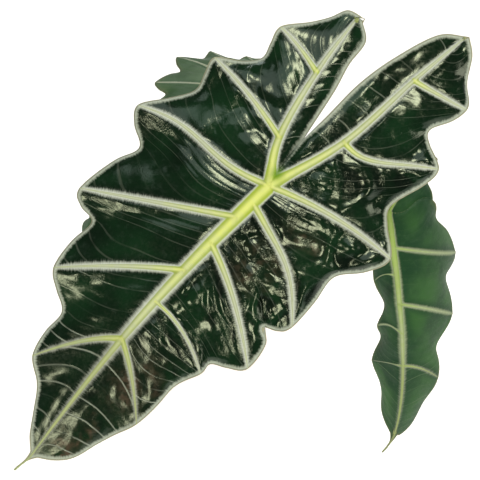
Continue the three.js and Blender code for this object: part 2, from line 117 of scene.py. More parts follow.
class Mixture:
    """A material under way, with short ways to add the nodes that the finishes share."""

    def __init__(self, name: str) -> None:
        """Starts a material that reads the piece's own coordinates.

        Args:
            name: The real finish's name.
        """
        self.material = bpy.data.materials.new(name)
        self.material.use_nodes = True
        self.material.node_tree.nodes.clear()
        self.fields: dict[str, Socket] = {}
        self.place = self.add("ShaderNodeTexCoord").outputs["Object"]

    def add(self, kind: str, links: dict | None = None, **settings: object) -> Node:
        """Adds a node to this material."""
        return add_node(self.material.node_tree, kind, links, **settings)

    def read(self, name: str) -> Socket:
        """Reads a field of the mesh, with one node however often it is read.

        Args:
            name: Name of the field.

        Returns:
            Its value.
        """
        if name not in self.fields:
            self.fields[name] = self.add("ShaderNodeAttribute", attribute_name=name).outputs["Fac"]
        return self.fields[name]

    def maths(self, kind: str, *values: object) -> Socket:
        """Result of one sum on values or sockets."""
        return self.add("ShaderNodeMath", dict(enumerate(values)), operation=kind).outputs[0]

    def times(self, first: object, second: object) -> Socket:
        """Product of two values."""
        return self.maths("MULTIPLY", first, second)

    def plus(self, first: object, second: object) -> Socket:
        """Sum of two values."""
        return self.maths("ADD", first, second)

    def ramp(
        self, value: Socket, low: float, high: float, start: float = 0, end: float = 1, ease: Ease = Ease.SOFT
    ) -> Socket:
        """Goes from start to end while a value goes from low to high."""
        links = {"Value": value, "From Min": low, "From Max": high, "To Min": start, "To Max": end}
        return self.add("ShaderNodeMapRange", links, interpolation_type=ease.value).outputs[0]

    def slope(self, *limits: object) -> Socket:
        """As ramp, but even all the way."""
        return self.ramp(*limits, ease=Ease.EVEN)

    def blend(self, share: object, first: object, second: object) -> Socket:
        """Colour between two colours, each a socket or an sRGB hex."""
        ends = [colour if isinstance(colour, Socket) else linear(colour) for colour in (first, second)]
        return self.add("ShaderNodeMix", {0: share, 6: ends[0], 7: ends[1]}, data_type="RGBA").outputs[2]

    def between(self, share: object, first: object, second: object) -> Socket:
        """Value between two values."""
        return self.add("ShaderNodeMix", {0: share, 2: first, 3: second}).outputs[0]

    def noise(self, size: float, detail: float, place: Socket | None = None) -> Socket:
        """Cloudy noise from 0 to 1 whose lumps are size millimetres wide."""
        links = {"Vector": place or self.place, "Scale": 1 / (size * MM), "Detail": detail}
        return self.add("ShaderNodeTexNoise", links).outputs[0]

    def drawn_out(self, *scale: float) -> Socket:
        """The piece's coordinates, scaled on each axis."""
        return self.add("ShaderNodeMapping", {"Vector": self.place, "Scale": scale}).outputs[0]

    def streaks(self, run: str, out: str, pitch: float, length: float) -> Socket:
        """Noise drawn out square to a line, as short hairs stand.

        Args:
            run: Field of the distance along the line, in millimetres.
            out: Field of the distance out from it.
            pitch: Distance between streaks, in millimetres.
            length: How far a streak holds, in the units of out.

        Returns:
            Noise from 0 to 1.
        """
        steps = {0: self.times(self.read(run), 1 / pitch), 1: self.times(self.read(out), 1 / length)}
        place = self.add("ShaderNodeCombineXYZ", steps).outputs[0]
        return self.add("ShaderNodeTexNoise", {"Vector": place, "Scale": 1.0, "Detail": 2.0}).outputs[0]

    def bump(self, height: Socket, strength: float, depth: float, **settings: object) -> Socket:
        """Normal of a relief that is depth millimetres deep."""
        links = {"Height": height, "Strength": strength, "Distance": depth * MM}
        return self.add("ShaderNodeBump", links, **settings).outputs[0]

    def shade(self, colour: object, roughness: object, **inputs: object) -> Material:
        """Ends the material with its shader.

        Args:
            colour: Colour, a socket or an sRGB hex.
            roughness: Roughness, a socket or a value.
            inputs: Further inputs of the shader, with an underscore for a space.

        Returns:
            The finished material.
        """
        base = colour if isinstance(colour, Socket) else linear(colour)
        links = {"Base Color": base, "Roughness": roughness}
        links.update({name.replace("_", " "): value for name, value in inputs.items()})
        shader = self.add("ShaderNodeBsdfPrincipled", links)
        self.add("ShaderNodeOutputMaterial", {0: shader.outputs[0]})
        return self.material


def new_piece(name: str, points: Array, faces: list, materials: list, places: Array | None = None) -> Piece:
    """Makes a smooth mesh piece from points in millimetres.

    Args:
        name: Name of the object and its mesh.
        points: Vertex places, one row each.
        faces: Vertex numbers of each face.
        materials: Materials in the order of their places.
        places: Material place of each face.

    Returns:
        The object, linked to the scene.
    """
    mesh = bpy.data.meshes.new(name)
    mesh.from_pydata((np.asarray(points) * MM).tolist(), [], faces)
    for material in materials:
        mesh.materials.append(material)
    if places is not None:
        mesh.polygons.foreach_set("material_index", np.asarray(places, np.int32))
    mesh.polygons.foreach_set("use_smooth", np.ones(len(mesh.polygons), bool))
    mesh.update()
    piece = bpy.data.objects.new(name, mesh)
    bpy.context.scene.collection.objects.link(piece)
    return piece


def add_field(piece: Piece, name: str, values: Array) -> None:
    """Stores a value at each point of a piece, for its finish to read."""
    layer = piece.data.attributes.new(name, "FLOAT", "POINT")
    layer.data.foreach_set("value", values.astype(np.float32))


def seat_piece(piece: Piece, slot: str, *nodes: str) -> None:
    """Lets a piece ride on the body, and stand for nodes of the frame.

    Args:
        piece: The finished piece.
        slot: Not used.
        nodes: Nodes that the piece stands for.
    """
    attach(piece, BODY)
    if nodes:
        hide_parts(*nodes)
    LOG.info("%s: %d faces", piece.name, len(piece.data.polygons))


def grid_quads(columns: int, rows: int, start: int = 0, closed: bool = False) -> Array:
    """Quads of a grid whose points are numbered column by column.

    Args:
        columns: Number of columns.
        rows: Points in a column.
        start: Number of the first point.
        closed: Whether the last column joins the first.

    Returns:
        An array with four point numbers a row.
    """
    first = np.arange(columns if closed else columns - 1)
    ends = (first, (first + 1) % columns)
    a, b = (start + column[:, None] * rows + np.arange(rows - 1) for column in ends)
    return np.stack([a, b, b + 1, a + 1], axis=-1).reshape(-1, 4)


def capped(columns: int, rows: int, start: int = 0) -> list[list[int]]:
    """Faces of a round wall whose columns run along it, with a flat cap at each end.

    Args:
        columns: Number of columns.
        rows: Points in a column.
        start: Number of the first point.

    Returns:
        Point numbers of each face.
    """
    ring = [start + k * rows for k in range(columns)]
    wall = grid_quads(columns, rows, start, closed=True).tolist()
    return [*wall, ring[::-1], [k + rows - 1 for k in ring]]


def turned(radius: Array, z: Array, sides: int) -> Array:
    """Points of a form turned round the upright axis.

    Args:
        radius: Radius of each point of the profile.
        z: Height of each point of the profile.
        sides: Number of columns.

    Returns:
        Places, with axes for column, profile point and coordinate.
    """
    turn = np.linspace(0, 2 * math.pi, sides, endpoint=False)
    upright = np.broadcast_to(z, (sides, len(radius)))
    return np.stack([np.outer(np.cos(turn), radius), np.outer(np.sin(turn), radius), upright], axis=-1)


def bore(z: float) -> float:
    """Radius of the pot's inner wall at a height."""
    return BORE_FOOT + (BORE_RIM - BORE_FOOT) * min(max((z - POT_FLOOR) / (POT_HEIGHT - POT_FLOOR), 0), 1)


def noise_at(points: Array, size: float, seed: float, octaves: int = 1) -> Array:
    """Smooth noise at points.

    Args:
        points: Places in millimetres, two or three a row.
        size: Width of the largest lumps in millimetres.
        seed: Offset that makes one noise differ from another.
        octaves: Number of finer layers, each half as wide and high.

    Returns:
        One value a point, from about -1 to 1.
    """
    places = np.zeros((len(points), 3))
    places[:, : points.shape[1]] = points / size
    places += (seed, seed * 1.7, seed * 0.3)
    if octaves == 1:
        return np.array([noise.noise(p) for p in places.tolist()])
    return np.array([noise.fractal(p, 1.0, 2.0, octaves) for p in places.tolist()])


def smooth_step(value: Array, low: float, high: float) -> Array:
    """Rises smoothly from 0 at low to 1 at high."""
    t = np.clip((value - low) / (high - low), 0, 1)
    return t * t * (3 - 2 * t)


def hump(value: Array, width: float) -> Array:
    """Bell from 1 at zero to almost nothing two widths away."""
    return np.exp(-((value / width) ** 2))


def on_line(value: Array, knots: Rows) -> Array:
    """Reads a broken line, given by its knots, at values."""
    return np.interp(value, *zip(*knots))


def run_along(line: Array) -> Array:
    """Distance run at each point of a line."""
    return np.concatenate([[0], np.cumsum(np.linalg.norm(np.diff(line, axis=0), axis=1))])


def curve_at(points: Rows, phase: Array) -> Array:
    """Smooth curve through rows of phase, u and v.

    Args:
        points: The rows, with phase rising.
        phase: Phases to read the curve at.

    Returns:
        u and v at each phase, in a last axis of two.
    """
    table = np.array(points, float)
    knots, values = table[:, 0], table[:, 1:]
    order = np.arange(len(knots))
    before, after = np.maximum(order - 1, 0), np.minimum(order + 1, len(knots) - 1)
    tangent = (values[after] - values[before]) / (knots[after] - knots[before])[:, None]
    at = np.clip(phase, knots[0], knots[-1])
    i = np.clip(np.searchsorted(knots, at, side="right") - 1, 0, len(knots) - 2)
    gap = (knots[i + 1] - knots[i])[..., None]
    s = (at - knots[i])[..., None] / gap
    rise = 3 * s**2 - 2 * s**3
    value = (1 - rise) * values[i] + rise * values[i + 1]
    return value + gap * ((s**3 - 2 * s**2 + s) * tangent[i] + (s**3 - s**2) * tangent[i + 1])


@dataclass(frozen=True)
class HalfPlan:
    """One half of the leaf plan at scale 1, with u to the drip tip and v across.

    Phases count the side veins from the rear lobe's tip, and 3 is the vein at the junction. Sway
    gives each vein's bow and swing. Lobe rib, margin and sinus are rows of phase, u and v.
    """

    side: int
    lobe_rib: Rows
    roots: tuple[float, ...]
    sway: Rows
    margin: Rows
    sinus: Rows
    junction_phase: int = 3
    drip_start: float = 179.0
    drip_end: float = 190.7
    drip_sweep: float = -2.9
    bow: float = -4.6
    length: float = 180.0
    lip: float = 1.2
    lip_fade: float = 10.0

    @property
    def last_phase(self) -> int:
        """Phase of the drip tip's foot."""
        return self.junction_phase + len(self.roots) - 1

    @property
    def knots(self) -> tuple[Array, Array]:
        """Phases from the junction to the drip tip's end, and where each starts on the midrib."""
        return np.arange(len(self.roots) + 1) + self.junction_phase, np.array([*self.roots, self.drip_end])

    def midrib(self, u: Array) -> Array:
        """Sideways place of the midrib, bowed on the blade and swept on the drip tip.

        Args:
            u: Places along the blade.

        Returns:
            v at each of them.
        """
        past = np.maximum(u - self.length, 0) / (self.drip_end - self.length)
        bowed = self.bow * np.sin(np.pi * np.clip(u / self.length, 0, 1))
        return np.where(u > self.length, self.drip_sweep * past**1.5, bowed)

    def root(self, phase: Array) -> Array:
        """Place on the midrib where a phase starts."""
        return np.interp(phase, *self.knots)

    def phase(self, u: Array) -> Array:
        """Phase that starts at a place on the midrib."""
        return np.interp(u, *self.knots[::-1])

    def outer(self, phase: Array, share: Array, reach: tuple[float, ...]) -> tuple[Array, Array]:
        """Plan points between the ribs and the margin.

        Args:
            phase: Phase of each point.
            share: Share of the way from the rib to the margin.
            reach: Stretch of each side vein.

        Returns:
            The points, and the rib to margin length of each.
        """
        ahead = phase > self.junction_phase
        u = np.where(ahead, self.root(phase), 0)
        on_midrib = np.stack([u, self.midrib(u)], axis=-1)
        root = np.where(ahead[..., None], on_midrib, curve_at(self.lobe_rib, phase))
        across = curve_at(self.margin, phase) - root
        length = np.hypot(across[..., 0], across[..., 1])
        lip = self.lip * np.clip(length / self.lip_fade, 0, 1)
        stretch = (np.interp(phase, range(len(reach)), reach) + lip / length) * share
        bow, swing = (np.interp(phase, range(len(self.sway)), values) for values in zip(*self.sway))
        plan = root + across * stretch[..., None]
        plan[..., 0] += bow * 4 * share * (1 - share) + swing * np.sin(2 * np.pi * share)
        return plan, length

    def inner(self, phase: Array, share: Array) -> tuple[Array, Array]:
        """Plan points between a rear lobe's rib and the sinus.

        Args:
            phase: Phase of each point.
            share: Share of the way from the rib to the sinus.

        Returns:
            The points, and the rib to sinus length of each.
        """
        root = curve_at(self.lobe_rib, phase)
        across = curve_at(self.sinus, phase) - root
        return root + across * share[..., None], np.hypot(across[..., 0], across[..., 1])


BROAD_HALF = HalfPlan(
    side=-1,
    lobe_rib=((0, -92.5, -22.6), (1, -58.2, -19.6), (2, -21.4, -12), (3, 0, 0)),
    roots=(0, 22, 59, 105, 179),
    sway=((0, 0), (-1.2, 0), (-1.7, 0), (-0.9, 2.5), (0, 0), (-2, 0), (-4.4, 0), (0, 0), (0, 0)),
    margin=(
        (0, -94.6, -20), (0.25, -92, -28.2), (0.5, -84.4, -32.6), (0.75, -74.4, -39), (1, -63.3, -46.8),
        (1.25, -54.5, -45.9), (1.5, -46.6, -45), (1.75, -38, -51.2), (2, -30.2, -61.4), (2.25, -21.5, -60.8),
        (2.5, -12, -59.7), (2.75, 0.5, -67), (3, 12.5, -74.6), (3.25, 21, -70.5), (3.5, 28, -61.9),
        (3.75, 41, -66.3), (4, 62.5, -69.2), (4.25, 69.2, -63.8), (4.5, 71.8, -55), (4.75, 84.9, -55.3),
        (5, 100.5, -52.4), (5.25, 108.5, -44.5), (5.5, 115.5, -36), (5.75, 127.4, -35.2), (6, 140, -31.3),
        (6.25, 149, -22), (6.5, 160, -15.2), (6.75, 170.5, -7.8), (7, 179, -1.5), (8, 190.7, -3.3),
    ),
    sinus=(
        (0, -94.6, -20), (0.5, -87.3, -11.6), (1, -73, -10.2), (1.5, -58, -6.8),
        (2, -38, -3.8), (2.5, -22, -1.6), (2.75, -13, -1.2), (3, -6.5, -1.0),
    ),
)
LONG_HALF = HalfPlan(
    side=1,
    lobe_rib=((0, -122.5, 24.5), (1, -88, 19.4), (2, -41, 13.6), (3, 0, 0)),
    roots=(0, 11.5, 40, 80, 105, 179),
    sway=((0, 0), (0, 0), (5, 1.5), (-3.3, 0), (-7, 1.5), (-3.5, 0), (-3.8, 0), (-2, 0), (0, 0)),
    margin=(
        (0, -124.4, 25.8), (0.25, -118, 32.8), (0.5, -108.4, 39.4), (0.75, -101.4, 45.4), (1, -94.6, 47.8),
        (1.25, -86.4, 46.8), (1.5, -76, 41.9), (1.75, -69.5, 46), (2, -62.8, 56.9), (2.25, -52, 57.6),
        (2.5, -34, 52.6), (2.75, -24.5, 57.2), (3, -13, 68.4), (3.25, 0, 64), (3.5, 12, 54.6),
        (3.75, 27, 54.9), (4, 44.5, 54), (4.25, 50.8, 50.6), (4.5, 54.3, 43.8), (4.75, 59, 50.4),
        (5, 74.5, 51.2), (5.25, 81.5, 43.6), (5.5, 85.5, 37.2), (6, 92, 35), (6.5, 107, 30.6),
        (6.75, 119, 30), (7, 131.5, 28), (7.25, 142, 24.6), (7.5, 154, 20.8), (7.75, 168, 15),
        (8, 179, 2.8), (9, 190.7, -2.5),
    ),
    sinus=(
        (0, -124.4, 25.8), (0.5, -114, 13.5), (1, -90, 4.6), (1.5, -68, -0.1),
        (2, -45, -1.4), (2.5, -24, -2.7), (2.75, -13, -2.3), (3, -6.5, -1.6),
    ),
)


@dataclass(frozen=True)
class LeafPose:
    """Place, size and bends of one leaf.

    Junction is where stalk and blade meet, in millimetres. Folds and curl are radians down from
    the midrib to each margin, droop turns the blade's end down and lobe_droop its rear lobes. Tail
    is the drip tip's stretch and sweep, and base the stalk's bearing round the crown in degrees.
    Reaches stretch the side veins, scorches are rows of u, v and two radii, and faint are rows of
    side, vein and share of its width.
    """

    name: str
    junction: tuple[float, float, float]
    tip: tuple[float, float, float]
    across: tuple[float, float, float]
    scale: float
    width: float
    flip: bool
    droop: float
    lobe_length: float
    lobe_droop: float
    fold_broad: float
    fold_long: float
    curl: float
    wave: float
    quilt: float
    tail: tuple[float, float]
    base: float
    crinkle: float
    seed: float
    swerve: float = 0.0
    reach_broad: tuple[float, ...] = (1,)
    reach_long: tuple[float, ...] = (1,)
    scorches: Rows = ()
    faint: Rows = ()

    def frame(self) -> tuple[Array, Array, Array]:
        """Directions of the blade at its junction.

        Returns:
            Unit vectors along it to the tip, across it and up from it.
        """
        tip = np.array(self.tip) / np.linalg.norm(self.tip)
        up = np.cross(tip, self.across)
        up /= np.linalg.norm(up)
        return tip, np.cross(up, tip), up

    def spine(self, s: Array) -> tuple[Array, Array, Array]:
        """Bent spine at distances from the junction.

        Args:
            s: Distances, negative to the rear.

        Returns:
            Place along, place up, and slope.
        """
        lobe_span, blade_span = 120, 180
        table = np.linspace(-160, 240, 801)
        ahead = -self.droop * (np.maximum(table, 0) / blade_span) ** 1.5
        slope = np.where(table > 0, ahead, self.lobe_droop * np.maximum(-table, 0) / lobe_span)
        middle = (slope[1:] + slope[:-1]) / 2
        found = []
        for part in (np.cos(middle), np.sin(middle)):
            run = np.concatenate([[0], np.cumsum(part * (table[1] - table[0]))])
            found.append(np.interp(s, table, run - np.interp(0, table, run)))
        return *found, np.interp(s, table, slope)

    def bend(self, plan: Array, height: Array) -> Array:
        """Bends plan points to their places in the row frame.

        Args:
            plan: u and v of each point.
            height: Relief above the smooth blade, in millimetres.

        Returns:
            The places, in millimetres.
        """
        half_width, stiff_length = 70, 28
        u, v = plan.T
        across = self.width * (-1 if self.flip else 1)
        lobe_line = -2.4 * (1 - np.exp(np.minimum(u, 0) / 12))
        line = np.where(u < 0, lobe_line, BROAD_HALF.midrib(u)) * across
        off = v * across - line
        side = np.sign(off)
        fold = np.where(side * across < 0, self.fold_broad, self.fold_long)
        fold *= 1 - 0.9 * hump(u, stiff_length)
        turn = self.curl / half_width
        angle = fold + turn * np.abs(off)
        out = (np.sin(angle) - np.sin(fold)) / turn + height / self.scale * np.sin(angle)
        up = (np.cos(angle) - np.cos(fold)) / turn + height / self.scale * np.cos(angle)
        past = np.maximum(0, u - BROAD_HALF.drip_start)
        along, rise, slope = self.spine(np.where(u < 0, u * self.lobe_length, u + past * (self.tail[0] - 1)))
        drip = past / (BROAD_HALF.drip_end - BROAD_HALF.drip_start)
        sweep = self.swerve * np.sin(np.pi * np.clip(u / BROAD_HALF.length, 0, 1)) + self.tail[1] * drip**1.5
        level, raised = along - np.sin(slope) * up, rise + np.cos(slope) * up
        local = np.stack([level, line + sweep + side * out, raised], axis=1)
        return np.array(self.junction) + local * self.scale @ np.array(self.frame())


LEAVES = (
    LeafPose(
        name="front", junction=(36.7, -137, 410), tip=(-0.662, -0.649, -0.375),
        across=(0.75, -0.573, -0.331), scale=1.012, width=1, flip=False, droop=0.1, lobe_length=1,
        lobe_droop=0.12, fold_broad=0.03, fold_long=0.03, curl=0.18, wave=3.2, quilt=2.2, tail=(1.1, 1.4),
        base=-55, crinkle=1.0, seed=3.1,
        scorches=((8, 31, 3.5, 9), (34, 24, 9, 9), (118, 16, 13, 10), (166, 12, 12, 10), (150, 14, 8, 6)),
    ),
    LeafPose(
        name="right", junction=(106.8, -116.5, 352.5), tip=(0.213, -0.64, -0.738),
        across=(0.89, 0.438, -0.123), scale=1, width=1.25, flip=True, droop=0.595, lobe_length=0.72,
        lobe_droop=1.8, fold_broad=0.005, fold_long=1.38, curl=0.86, wave=2.1, quilt=1.6, tail=(2, -7),
        base=-5, crinkle=0.4, seed=11.7, swerve=-6.8,
        reach_broad=(0.85, 0.75, 0.52, 0.36, 0.82, 0.84, 0.91, 1.86),
        reach_long=(0.8, 0.8, 0.7, 0.5, 0.3, 0.25, 0.41, 0.75, 0.75),
        faint=((-1, 2, 0.04), (-1, 3, 0.04), (1, 4, 0.1), (1, 5, 0.2), (1, 7, 0.25)),
    ),
    LeafPose(
        name="left", junction=(-35.9, -84.7, 299.2), tip=(-0.644, 0.222, -0.732),
        across=(0.387, -0.731, -0.562), scale=0.72, width=0.88, flip=True, droop=0.5, lobe_length=0.75,
        lobe_droop=1.5, fold_broad=0.4, fold_long=0.4, curl=0.5, wave=3, quilt=1.8, tail=(1.66, -2.1),
        base=-165, crinkle=0.5, seed=23.9,
        reach_long=(0.8, 0.8, 0.7, 0.55, 0.55, 0.7, 0.8, 1, 1),
    ),
    LeafPose(
        name="back", junction=(25.5, -17.6, 351.1), tip=(-0.565, -0.736, 0.373),
        across=(0.813, -0.574, 0.097), scale=0.569, width=0.92, flip=False, droop=1.295, lobe_length=0.9,
        lobe_droop=0.364, fold_broad=0.03, fold_long=0.3, curl=0.05, wave=1.34, quilt=1.8, tail=(1, 0),
        base=80, crinkle=0.4, seed=37.3,
        reach_broad=(0.9, 0.65, 1.25, 1.21, 1.13, 1, 1.1, 1),
    ),
)


@dataclass(frozen=True)
class LeafSkin:
    """Waxy cuticle of an upper face: near-black green panels with a wet gloss, pale felted ribs.

    Near colours are those at the junction, far ones those of the outer veins and tip ones those of
    the drip end. Rib and felt widths are shares of the front leaf's.
    """

    panel_deep: str = "#05190a"
    panel_green: str = "#0e2e17"
    panel_blush: str = "#2b3a30"
    # Near-black painted shade for the valleys of the creases.
    crease_shade: str = "#020b05"
    crest_near: str = "#e6f288"
    flank_near: str = "#a9c23c"
    crest_far: str = "#c8d4bb"
    flank_far: str = "#aeb995"
    crest_tip: str = "#97a851"
    hair: str = "#dde8dd"
    hair_tip: str = "#a2a79b"
    thread: str = "#97a093"
    edge: str = "#aaa98d"
    edge_line: str = "#3c4638"
    edge_hair: str = "#bfcbbd"
    scorch: str = "#5a4a3c"
    sap: str = "#6f9f12"
    gloss: str = "#dcecd6"
    rib_width: float = 1.0
    felt_width: float = 1.0
    felt_cover: float = 0.9
    edge_cover: float = 0.9
    roughness: float = 0.13
    rib_roughness: float = 0.68
    level: float = 0.66

    def make(self, name: str) -> Material:
        """Builds the material.

        Args:
            name: Name of the material.

        Returns:
            The material.
        """
        mix = Mixture(name)
        # The felt's hairs stand about 0.1 mm apart in life, and are drawn 0.4 mm apart.
        comb = mix.streaks("run", "hair", 0.4, 1.4)
        threads = self.threads(mix)
        fringe = self.fringe(mix, comb)
        hair = mix.blend(mix.ramp(mix.read("dull"), 0, 1, 0, 0.6), self.hair, self.hair_tip)
        colour = mix.blend(fringe, mix.blend(threads, self.panel(mix), self.thread), hair)
        colour, border = self.border(mix, colour)
        core = mix.ramp(mix.read("core"), 0.82, 1.1, 1, 0)
        colour = mix.blend(mix.read("sap"), mix.blend(core, colour, self.rib(mix)), self.sap)
        soft = mix.maths("MAXIMUM", mix.maths("MAXIMUM", fringe, core), border)
        uneven = mix.plus(mix.ramp(mix.noise(1.2, 1.0), 0.35, 0.65, -0.02, 0.08), self.roughness)
        bare = mix.plus(uneven, mix.ramp(mix.read("dull"), 0, 1, 0, 0.06))
        return mix.shade(
            colour, mix.between(soft, bare, self.rib_roughness), Normal=self.grain(mix, comb, threads, soft),
            IOR=1.46, Specular_IOR_Level=self.level, Specular_Tint=linear(self.gloss),
        )

    def fringe(self, mix: Mixture, comb: Socket) -> Socket:
        """Cover of the felt beside a rib: a dense part, and single hairs that reach further.

        Args:
            mix: The material under way.
            comb: Noise of the hairs.

        Returns:
            Cover from 0 to 1.
        """
        hair = mix.read("hair")
        out = mix.plus(hair, mix.ramp(comb, 0.3, 0.7, -0.15, 0.18))
        dense = mix.ramp(out, -0.1, 1.15, self.felt_cover, 0)
        single = mix.times(mix.ramp(comb, 0.5, 0.36, 0, 0.22), mix.ramp(hair, 0.5, 1.7, 1, 0))
        return mix.maths("MAXIMUM", dense, mix.times(single, self.felt_cover))

    def panel(self, mix: Mixture) -> Socket:
        """Colour between the veins, clouded over 30 mm, mottled over 3 mm, with painted shade in the creases
        and beside the ribs.

        Args:
            mix: The material under way.

        Returns:
            The colour.
        """
        mottle = mix.noise(3, 2.0)
        clouds = mix.ramp(mix.noise(30, 3.0), 0.35, 0.68)
        # Painted shade and sheen: the panels are darker close beside the ribs and lighter between them.
        away = mix.ramp(mix.read("hair"), 0.6, 4.0, 0.2, 1)
        colour = mix.blend(mix.times(clouds, away), self.panel_deep, self.panel_green)
        colour = mix.blend(mix.ramp(mottle, 0.5, 0.8, 0, 0.35), colour, self.panel_blush)
        # Painted shade: the valleys of the creases are darkened towards near-black.
        colour = mix.blend(mix.ramp(mix.read("crease_shade"), 0, 1, 0, 0.85), colour, self.crease_shade)
        burnt = mix.times(mix.read("scorch"), mix.ramp(mottle, 0.38, 0.62, 0.25, 1))
        return mix.blend(burnt, colour, self.scorch)

    def rib(self, mix: Mixture) -> Socket:
        """Colour of a rib's bare crest and flanks, yellow green at the junction and paler away from it. The
        paler crest is partly the rib's own colour and partly a painted highlight along its rounded top, and
        the darker flanks are partly painted shade.

        Args:
            mix: The material under way.

        Returns:
            The colour.
        """
        fade = mix.plus(mix.read("fade"), mix.ramp(mix.noise(4, 2.0), 0.3, 0.7, -0.12, 0.12))
        crest = mix.blend(fade, self.crest_near, self.crest_far)
        flank = mix.blend(fade, self.flank_near, self.flank_far)
        # Partly painted light: a paler crest for the highlight along the rib's rounded top, darker flanks for
        # its shaded sides.
        colour = mix.blend(mix.ramp(mix.read("core"), 0.1, 0.8), crest, flank)
        return mix.blend(mix.ramp(mix.read("dull"), 0, 1, 0, 0.5), colour, self.crest_tip)

    def threads(self, mix: Mixture) -> Socket:
        """Cover of the thin pale veins between the ribs, each of its own strength.

        Args:
            mix: The material under way.

        Returns:
            Cover from 0 to 1.
        """
        count = mix.read("thread")
        off = mix.maths("ABSOLUTE", mix.maths("SUBTRACT", mix.maths("FRACT", count), 0.5))
        line = mix.ramp(mix.times(off, mix.read("thread_gap")), 0.1, 0.42, 0.75, 0)
        whole = mix.maths("FLOOR", count)
        chance = mix.add("ShaderNodeTexWhiteNoise", {"W": whole}, noise_dimensions="1D").outputs[0]
        kept = mix.times(mix.ramp(chance, 0.1, 0.5), mix.read("thread_near"))
        broken = mix.ramp(mix.noise(12, 1.0), 0.3, 0.52, 0.25, 1)
        return mix.times(mix.times(line, kept), broken)

    def border(self, mix: Mixture, under: Socket) -> tuple[Socket, Socket]:
        """The pale double border along the margin.

        Args:
            mix: The material under way.
            under: Colour that the border lies on.

        Returns:
            The colour with its border, and the border's cover.
        """
        edge = mix.read("edge")
        comb = mix.streaks("edge_run", "edge", 0.7, 4.0)
        felt = mix.ramp(mix.plus(edge, mix.ramp(comb, 0.3, 0.7, -0.3, 0.35)), 0.9, 2.9, self.edge_cover, 0)
        colour = mix.blend(felt, under, self.edge_hair)
        colour = mix.blend(mix.ramp(edge, 0.6, 1.0, 0.45, 0), colour, self.edge_line)
        return mix.blend(mix.ramp(edge, 0.3, 0.65, 1, 0), colour, self.edge), felt

    def grain(self, mix: Mixture, comb: Socket, threads: Socket, soft: Socket) -> Socket:
        """Fine relief: pebbles and cells on the panels, and hairs on the ribs.

        Args:
            mix: The material under way.
            comb: Noise of the hairs.
            threads: Cover of the thin veins.
            soft: Cover of all that is felted.

        Returns:
            The normal.
        """
        # A leaf's cells are far finer than a pixel, so clusters of them are drawn, 0.7 mm wide.
        crinkle, cells = mix.read("crinkle"), mix.noise(0.7, 1.0)
        patch = mix.ramp(mix.noise(11, 2.0), 0.44, 0.58)
        pebbles = mix.times(mix.noise(3.4, 1.0), mix.ramp(crinkle, 0, 1, 0.1, 0.4))
        speck = mix.times(cells, mix.times(patch, mix.ramp(crinkle, 0, 0.7, 0.08, 0.8)))
        bare = mix.maths("SUBTRACT", mix.plus(pebbles, speck), threads)
        return mix.bump(mix.between(soft, bare, mix.times(comb, 1.2)), 1.0, 0.17)


@dataclass(frozen=True)
class LeafBack:
    """Lower face of a blade: matt, dull green with a purple flush, and paler raised ribs."""

    green: str = "#4f6044"
    flush: str = "#5a4652"
    rib: str = "#9fae6c"
    rim: str = "#a3a486"
    roughness: float = 0.5

    def make(self, name: str) -> Material:
        """Builds the material, with a net of small veins 5 mm wide.

        Args:
            name: Name of the material.

        Returns:
            The material.
        """
        mix = Mixture(name)
        cells = {"Vector": mix.place, "Scale": 1 / (5 * MM)}
        net = mix.add("ShaderNodeTexVoronoi", cells, feature="DISTANCE_TO_EDGE").outputs[0]
        colour = mix.blend(mix.slope(mix.noise(35, 4.0), 0.38, 0.66), self.green, self.flush)
        colour = mix.blend(mix.slope(net, 0.02, 0.08, 0.3, 0), colour, self.rib)
        colour = mix.blend(mix.ramp(mix.read("core"), 0.7, 1.2, 1, 0), colour, self.rib)
        colour = mix.blend(mix.slope(mix.read("edge"), 0.8, 1.4, 1, 0), colour, self.rim)
        return mix.shade(colour, self.roughness, Normal=mix.bump(net, 0.6, 0.3, invert=True), IOR=1.44)


@dataclass(frozen=True)
class RibForm:
    """How a kind of rib changes from its root to its end, as knots of share and value.

    Felt is the width of its hairy border. Fade goes from the junction's colours to the outer ones.
    """

    half_width: Rows
    felt: Rows
    fade: Rows

    def values(self, run: Array, share: Array, strength: float = 1.0) -> Array:
        """Values that the rib's points carry.

        Args:
            run: Distance along the rib.
            share: Share of the rib's length.
            strength: Factor on its widths.

        Returns:
            Run, half width, felt width, fade and share of each point.
        """
        half_width, felt = on_line(share, self.half_width) * strength, on_line(share, self.felt) * strength
        return np.stack([run, half_width, felt, on_line(share, self.fade), share], axis=1)


MIDRIB = RibForm(
    half_width=((0, 4), (0.11, 3.5), (0.28, 2.8), (0.56, 1.75), (0.67, 1.25), (0.8, 0.9), (1, 0.5)),
    felt=((0, 0.6), (0.1, 1.6), (0.5, 2.6), (0.65, 2.9), (0.85, 2.8), (1, 1.2)),
    fade=((0, 0), (0.15, 0.1), (0.3, 0.35), (0.5, 0.7), (1, 1)),
)
LOBE_RIB = RibForm(
    half_width=((0, 3.4), (0.12, 2.2), (0.35, 1.6), (0.65, 1.25), (0.9, 0.6), (1, 0.3)),
    felt=((0, 0.7), (0.15, 1.5), (0.4, 1.9), (0.8, 1.8), (1, 0.8)),
    fade=((0, 0.05), (0.15, 0.3), (0.4, 0.7), (0.7, 0.95), (1, 1)),
)
SIDE_VEIN = RibForm(
    half_width=((0, 1.7), (0.15, 1.45), (0.45, 1.05), (0.8, 0.6), (1, 0.25)),
    felt=((0, 0.8), (0.15, 1.5), (0.5, 1.9), (0.85, 2), (1, 1)),
    fade=((0, 0.2), (0.25, 0.6), (0.55, 0.95), (1, 1)),
)


